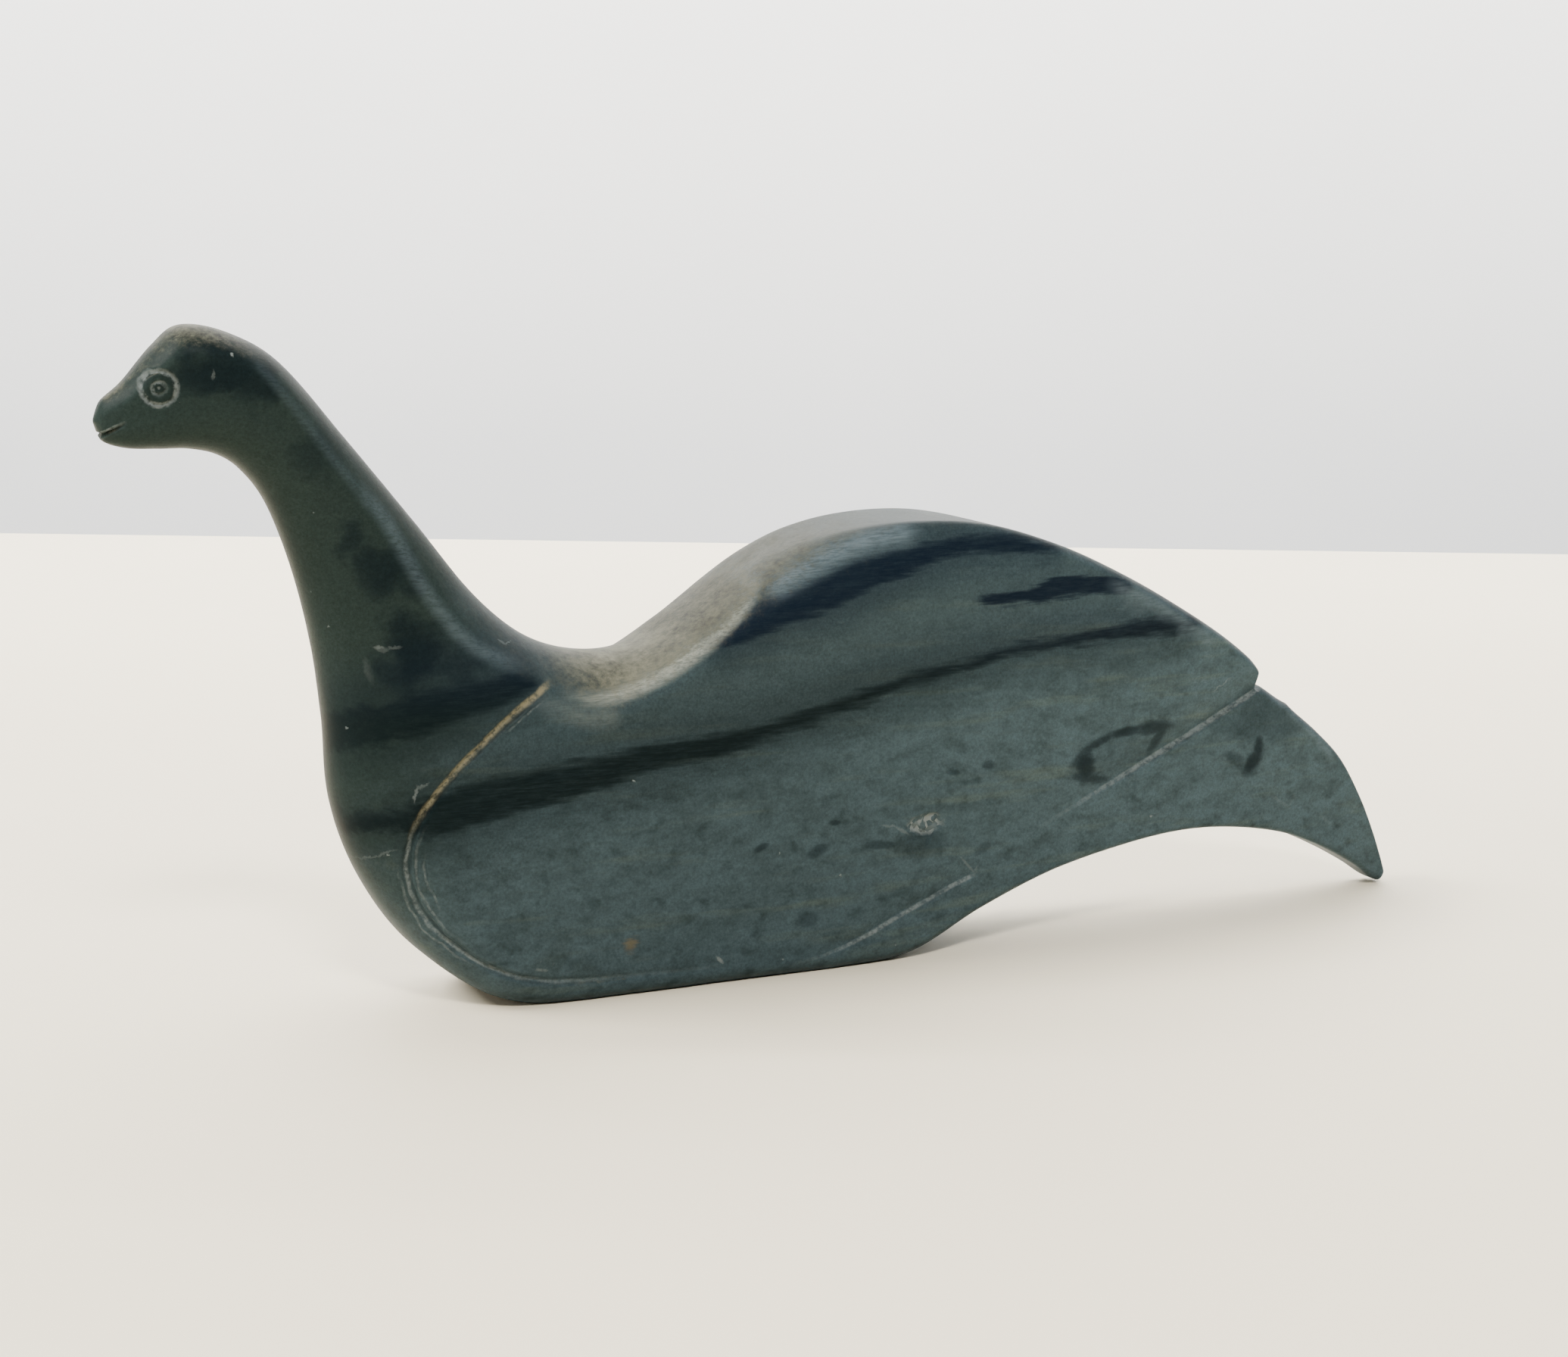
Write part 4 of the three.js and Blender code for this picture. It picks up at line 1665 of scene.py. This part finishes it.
        colour = self.ground(spot)
        bands = graph.highest(*(self.band_mask(graph, band, shifted_x, shifted_z) for band in BANDS))
        bands = bands * graph.ramp(spot.hairs + spot.fine * 0.6, 0.3, 0.6, 0.86, 1)
        colour = graph.mix(bands, colour, graph.mix(graph.smooth(spot.z, 33, 43), self.band, self.navy))
        flat = graph.join(spot.x + spot.coarse * 0.9 + spot.fine * 0.9, 1.0,
                          spot.z + spot.fine * 1.1 + spot.coarse * 0.5)
        dark = self.marks(graph, flat, DARK_MARKS, 0.05, 1.9) * spot.near
        colour = graph.mix(dark * shares.dark_marks, colour, self.blotch)

        # The second result is the mask of the warm tone on the faces that look up, partly dust and partly painted
        # light from above; it also roughens them.
        colour, sheen = self.paint_highlights_and_dust(spot, colour)
        scraped, sandy = self.line_marks(spot)
        pale_eye, dark_eye = self.eye_marks(spot)
        colour = graph.mix(dark_eye * shares.eye_dark, colour, self.speckle)
        scraped = graph.highest(scraped * shares.cuts, pale_eye * shares.eye_rings, self.specks(spot))
        colour = graph.mix(scraped, colour, self.scraped)
        colour = graph.mix(sandy * shares.sand, colour, self.sand)
        rusty = graph.measure("DISTANCE", flat, self.fleck) + spot.fine * 3.0 + spot.ragged * 1.5
        colour = graph.mix(graph.smooth(rusty, 0.1, 1.3, shares.rust, 0) * spot.near, colour, self.rust)

        grain = graph.noise(spot.place, 2.6, 3, 0.7, 6.0)
        roughness = (gloss.roughness + (grain - 0.5) * gloss.grain - bands * gloss.bands + scraped * gloss.scraped
                     + sandy * gloss.sand + sheen * gloss.dust_and_top_light)
        graph.tree.nodes.active = self.surface(graph, colour, roughness, self.relief(spot, grain))
        return material

    def ground(self, spot: Spot) -> object:
        """Colours the stone under its bands: mottled, streaked, darker towards the neck, with dark spots.

        Args:
            spot: The point.

        Returns:
            The colour.
        """
        graph, place, coarse, fine, shares = spot.graph, spot.place, spot.coarse, spot.fine, self.shares
        tail_end = graph.math("MAXIMUM", spot.x, 0)
        mottle = graph.bedded(place, 3.4, 1.8, 4, 0.68, 11.0)
        colour = graph.mix(graph.smooth(mottle + coarse * 0.4, 0.3, 0.78), self.body, self.shade)
        streak = graph.bedded(place, 22, 2.0, 3, 0.6, 15.0)
        colour = graph.mix(graph.smooth(streak, 0.52, 0.75) * shares.streaks, colour, self.pale)
        upper = graph.smooth(spot.z - tail_end * 0.3 + fine * 4 + coarse * 6, 25, 36)
        colour = graph.mix(upper * shares.upper, colour, self.shade)
        to_neck = graph.smooth(spot.x - spot.z * 0.35 + coarse * 14, -50, -70)
        colour = graph.mix(to_neck, colour, self.neck)
        warp = graph.noise(place, 0.2, 3, 0.62, 25.0) - 0.5
        loose = graph.join(spot.x + warp * 9, 1.0, spot.z + coarse * 7 - warp * 6 + fine * 2)
        colour = graph.mix(self.marks(graph, loose, DARK_PATCHES, 0.0, 1.9), colour, self.blotch)
        blot = graph.bedded(place, 2.2, 1.7, 2, 0.5, 21.0)
        lower = graph.smooth(spot.z - tail_end * 0.2, 30, 20) * graph.smooth(spot.x, -54, -44)
        colour = graph.mix(graph.smooth(blot, 0.5, 0.78) * lower * shares.speckles, colour, self.speckle)
        salt = graph.noise(place, 3.4, 2, 0.7, 31.0)
        colour = graph.vector("SCALE", colour, graph.ramp(salt, 0.3, 0.7, 0.8, 1.22))
        return graph.vector("SCALE", colour, graph.smooth(spot.x + coarse * 12, -25, 45, 1.0, 1.32))

    def paint_highlights_and_dust(self, spot: Spot, colour: object) -> tuple[object, Term]:
        """Paints highlights on the edges that catch the light and painted shade on the faces that look up, then warms
        those faces with a tone that is partly dust and partly painted light from above.

        Args:
            spot: The point.
            colour: The stone's colour there.

        Returns:
            The new colour, and how strongly the warm tone of dust and painted light shows.
        """
        graph, x = spot.graph, spot.x
        up = graph.split(graph.add("ShaderNodeNewGeometry").outputs["Normal"])[2]
        crumbs = graph.noise(spot.place, 1.3, 4, 0.72, 41.0)
        blots = graph.noise(spot.place, 0.4, 2, 0.6, 43.0)
        # Painted highlights: pale sheen along the edges that catch the light, paler on the saddle.
        painted_highlight = graph.attribute(PAINTED_HIGHLIGHT) * graph.smooth(spot.hairs + spot.fine * 0.5, 0.3, 0.66, 0.4, 1)
        painted_highlight = painted_highlight * graph.smooth(up, 0.8, 0.98, 1, 0)
        saddle = graph.smooth(x, -40, -33) * graph.smooth(x, -14, -8, 1, 0)
        colour = graph.mix(painted_highlight, colour, graph.mix(saddle, self.sheen, self.saddle_highlight))
        # Painted shade: the stone on the faces that look up is darkened, by up to 38 percent.
        colour = graph.vector("SCALE", colour, graph.smooth(up, 0.3, 0.9, 1, 0.62))
        # The warm tone on the faces that look up: partly dust, partly painted light from above.
        front = graph.smooth(x + blots * 20, -4, 22, 1, 0.1)
        nape = graph.smooth(abs(x + 52), 14, 23, 0.12, 1)
        crown = graph.smooth(x, -66, -60, 0.22, 0)
        mask = graph.smooth(up - crown + (crumbs - 0.5) * 0.9, 0.28, 0.95) * front * nape
        shade = graph.ramp(crumbs * 0.6 + blots * 0.4, 0.32, 0.66, 0.42, 1.5) * graph.smooth(x, -32, -12, 1.2, 0.72)
        return graph.mix(mask * self.shares.dust_and_top_light, colour, graph.vector("SCALE", self.dust_and_top_light, shade)), mask

    def specks(self, spot: Spot) -> Term:
        """Finds the pale specks, the short scratches and the mineral of the chip.

        Args:
            spot: The point.

        Returns:
            Their mask, from 0 to 1.
        """
        graph, place, shares = spot.graph, spot.place, self.shares
        gap, own = graph.cells(place, 0.24)
        tiny = graph.smooth(gap, 0.02, 0.045, 1, 0) * graph.math("GREATER_THAN", own, 0.62) * shares.specks
        waver = graph.noise(place, 1.5, 3, 0.6, 51.0) - 0.5
        flat = graph.join(spot.x + waver * 0.8, 1.0, spot.z - waver * 1.1)
        marks = self.marks(graph, flat, PALE_MARKS, 0.0, 1.7) * graph.smooth(waver + own * 0.1, -0.12, 0.12, 0.45, 1)
        shade = graph.cells(place, 1 / self.chip.grain)[1]
        mineral = graph.smooth(self.chip.out(graph, place, spot.x, spot.z), 0.2, 1.3, 1, 0)
        mineral = mineral * graph.smooth(shade, 0.25, 0.85, 0.08, 1)
        return graph.highest(tiny, graph.highest(marks * shares.scratches, mineral * shares.mineral) * spot.near)

    def relief(self, spot: Spot, grain: Term) -> bpy.types.NodeSocket:
        """Raises fine sanding marks and grain as a bump.

        Args:
            spot: The point.
            grain: The stone's grain, about 0.5.

        Returns:
            The bumped normal.
        """
        graph = spot.graph
        hairs = graph.bedded(spot.place, 3.2, 0.16, 3, 0.7, 61.0)
        height = grain * 0.35 + hairs * graph.smooth(spot.z, 36, 45, 0.25, 1) * 0.9
        bump = graph.add("ShaderNodeBump", None, {
            "Strength": self.gloss.bump_strength, "Distance": self.gloss.bump, "Height": height})
        return bump.outputs[0]

    def surface(self, graph: Graph, colour: object, roughness: Term, normal: object) -> bpy.types.Node:
        """Adds the shader and the output.

        Args:
            graph: The material's tree.
            colour: The colour.
            roughness: The roughness.
            normal: The bumped normal.

        Returns:
            The output node.
        """
        shader = graph.add("ShaderNodeBsdfPrincipled", None, {
            "Base Color": colour, "Roughness": roughness, "Normal": normal,
            "IOR": self.gloss.refraction, "Specular IOR Level": self.gloss.specular})
        return graph.add("ShaderNodeOutputMaterial", None, {"Surface": shader.outputs[0]})


@dataclass(frozen=True)
class Bird:
    """The carved bird, one piece of stone."""

    form: BirdForm = field(default_factory=BirdForm)
    carving: Carving = field(default_factory=Carving)
    stone: Soapstone = field(default_factory=Soapstone)

    def build(self, detail: Detail) -> bpy.types.Object:
        """Lofts, carves and dresses the bird.

        Args:
            detail: How finely to make it.

        Returns:
            The finished piece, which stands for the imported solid.
        """
        density = DENSITIES[detail]
        skin = self.form.mesh("bird_blank", density)
        write_lines(skin)
        blank = bpy.data.objects.new("bird_blank", skin)
        bpy.context.scene.collection.objects.link(blank)
        piece = self.carving.apply(blank, self.stone.material(), density, "bird_stone")
        self.fit(piece.data)
        write_lines(piece.data)
        write_highlights(piece.data)
        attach(piece, BODY)
        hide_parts(NODE)
        return piece

    @staticmethod
    def fit(mesh: bpy.types.Mesh) -> None:
        """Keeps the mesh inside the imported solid's box.

        Args:
            mesh: The mesh, in metres.
        """
        low, high = (np.array(corner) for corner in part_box(NODE))
        points = np.empty(len(mesh.vertices) * 3, np.float32)
        mesh.vertices.foreach_get("co", points)
        points = np.clip(points.reshape(-1, 3), low, high)
        mesh.vertices.foreach_set("co", points.astype(np.float32).ravel())
        mesh.update()


@dataclass(frozen=True)
class Lamp:
    """A soft rectangular light.

    Attributes:
        name: Its name.
        place: Where it hangs, in metres from the middle of the bird.
        size: Its width and height, in metres.
        watts: Its power.
        colour: Its colour.
        aim: The point it is turned to, in metres from the middle of the bird.
    """

    name: str
    place: tuple[float, float, float]
    size: Point
    watts: float
    colour: Colour
    aim: tuple[float, float, float] = (0.0, 0.0, 0.0)


@dataclass(frozen=True)
class Studio:
    """A pale table, a pale wall behind it, and soft lights.

    Attributes:
        table: The table's colour.
        wall: The wall's colour.
        edge_distance: From the bird to the back edge of the table, in metres.
        edge_turn: How far that edge turns from the X axis, in degrees.
        wall_gap: From that edge to the wall, in metres.
        wall_foot: The wall's lower edge, in metres.
        reach: How far the table and the wall run on, in metres.
        table_roughness: The table's roughness.
        wall_roughness: The wall's roughness.
        cloudiness: The share of their colour that is left where they are darkest.
        air: The light that comes from everywhere.
        air_strength: How strong it is.
        lamps: The lights.
    """

    table: Colour = linear("e2d7bf")
    wall: Colour = linear("efefee")
    edge_distance: float = 0.392
    edge_turn: float = -30.0
    wall_gap: float = 0.25
    wall_foot: float = -0.8
    reach: float = 3.0
    table_roughness: float = 0.6
    wall_roughness: float = 0.85
    cloudiness: float = 0.965
    air: Colour = (0.66, 0.84, 1.0)
    air_strength: float = 0.09
    lamps: tuple[Lamp, ...] = (
        Lamp("overhead", (-0.92, 0.24, 0.98), (0.5, 0.42), 34.5, (1.0, 0.98, 0.94)),
        Lamp("front", (-0.16, -0.48, 0.6), (0.14, 0.12), 6.7, (1.0, 0.97, 0.92)),
        Lamp("side", (0.75, -0.15, 0.5), (0.4, 0.4), 2.3, (0.8, 0.9, 1.0)),
        Lamp("left", (-0.75, -0.12, 0.22), (0.5, 0.4), 2.0, (1.0, 0.95, 0.88)),
        Lamp("wall_wash", (0.16, 0.3, 0.62), (1.1, 0.2), 22.0, (1.0, 1.0, 1.0), (0.33, 0.6, 0.25)),
    )

    def finish(self, name: str, colour: Colour, roughness: float) -> bpy.types.Material:
        """Makes a plain matt surface with a faint cloudiness.

        Args:
            name: The material's name.
            colour: Its colour.
            roughness: Its roughness.

        Returns:
            The material.
        """
        material = bpy.data.materials.new(name)
        material.use_nodes = True
        graph = Graph(material.node_tree)
        place = graph.add("ShaderNodeTexCoord").outputs["Object"]
        cloud = graph.noise(place, 9.0, 3, 0.5)
        darker = tuple(self.cloudiness * c for c in colour)
        tint = graph.mix(graph.smooth(cloud, 0.3, 0.7), colour, darker)
        shader = graph.add("ShaderNodeBsdfPrincipled", None, {"Base Color": tint, "Roughness": roughness})
        graph.add("ShaderNodeOutputMaterial", None, {"Surface": shader.outputs[0]})
        return material

    def panel(self, name: str, corners: list[Vector], material: bpy.types.Material) -> bpy.types.Object:
        """Makes one flat panel of the set.

        Args:
            name: Its name.
            corners: Its four corners, in metres.
            material: Its material.

        Returns:
            The panel, which isn't part of the bird.
        """
        mesh = bpy.data.meshes.new(name)
        mesh.from_pydata([tuple(c) for c in corners], [], [(0, 1, 2, 3)])
        mesh.materials.append(material)
        panel = bpy.data.objects.new(name, mesh)
        bpy.context.scene.collection.objects.link(panel)
        return panel

    def build(self) -> None:
        """Sets up the table, the wall, the lights and the air."""
        turn = math.radians(self.edge_turn)
        along = Vector((math.cos(turn), math.sin(turn), 0.0))
        away = Vector((-math.sin(turn), math.cos(turn), 0.0))
        back, far = away * self.edge_distance, along * self.reach
        self.panel("table", [-far - away * self.reach, far - away * self.reach, far + back, -far + back],
                   self.finish("table_top", self.table, self.table_roughness))
        wall = away * (self.edge_distance + self.wall_gap)
        foot, top = Vector((0, 0, self.wall_foot)), Vector((0, 0, self.reach))
        self.panel("wall", [-far + wall + foot, far + wall + foot, far + wall + top, -far + wall + top],
                   self.finish("wall_paint", self.wall, self.wall_roughness))
        for lamp in self.lamps:
            self.hang(lamp)
        world = bpy.data.worlds.new("air")
        world.use_nodes = True
        bpy.context.scene.world = world
        graph = Graph(world.node_tree)
        light = graph.add("ShaderNodeBackground", None, {"Color": (*self.air, 1.0), "Strength": self.air_strength})
        graph.add("ShaderNodeOutputWorld", None, {"Surface": light.outputs[0]})

    @staticmethod
    def hang(lamp: Lamp) -> None:
        """Hangs one light.

        Args:
            lamp: Its sizes.
        """
        light = bpy.data.lights.new(lamp.name, "AREA")
        light.shape = "RECTANGLE"
        light.size, light.size_y = lamp.size
        light.energy = lamp.watts
        light.color = lamp.colour
        holder = bpy.data.objects.new(lamp.name, light)
        holder.location = lamp.place
        holder.rotation_mode = "QUATERNION"
        holder.rotation_quaternion = (Vector(lamp.aim) - Vector(lamp.place)).to_track_quat("-Z", "Y")
        bpy.context.scene.collection.objects.link(holder)


@dataclass(frozen=True)
class Viewpoint:
    """Where the camera stands.

    Attributes:
        aim: From the middle of the bird's box to the point it looks at, in metres.
        turn: How far it is turned from looking along +Y, in degrees.
        pitch: How far it looks down, in degrees.
        distance: From that point to the camera, in metres.
        lens: Focal length, in millimetres.
        sensor: The sensor's width, in millimetres.
        clip: The nearest and the farthest that it sees, in metres.
    """

    aim: tuple[float, float, float] = (-0.0037, 0.0006, -0.005)
    turn: float = -24.0
    pitch: float = 10.173
    distance: float = 0.33284
    lens: float = 62.58
    sensor: float = 36.0
    clip: Point = (0.01, 20.0)

    def build(self) -> None:
        """Makes the camera and gives it to the scene."""
        low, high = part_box(NODE)
        target = (low + high) / 2 + Vector(self.aim)
        turn, pitch = math.radians(self.turn), math.radians(self.pitch)
        ahead = Vector((-math.sin(turn) * math.cos(pitch), math.cos(turn) * math.cos(pitch), -math.sin(pitch)))
        camera = bpy.data.cameras.new("camera")
        camera.lens, camera.sensor_width = self.lens, self.sensor
        camera.clip_start, camera.clip_end = self.clip
        holder = bpy.data.objects.new("camera", camera)
        holder.location = target - ahead * self.distance
        holder.rotation_euler = (math.pi / 2 - pitch, 0.0, turn)
        bpy.context.scene.collection.objects.link(holder)
        bpy.context.scene.camera = holder


def main() -> None:
    """Builds the camera, the bird and the studio."""
    logging.basicConfig(level=logging.INFO, format="%(name)s: %(message)s")
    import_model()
    Viewpoint().build()
    detail = Detail.FULL
    piece = Bird().build(detail)
    LOG.info("%s: %d faces, %s", piece.name, len(piece.data.polygons), detail.value)
    Studio().build()
    LOG.info("studio and camera are in place")


if __name__ == "__main__":
    main()
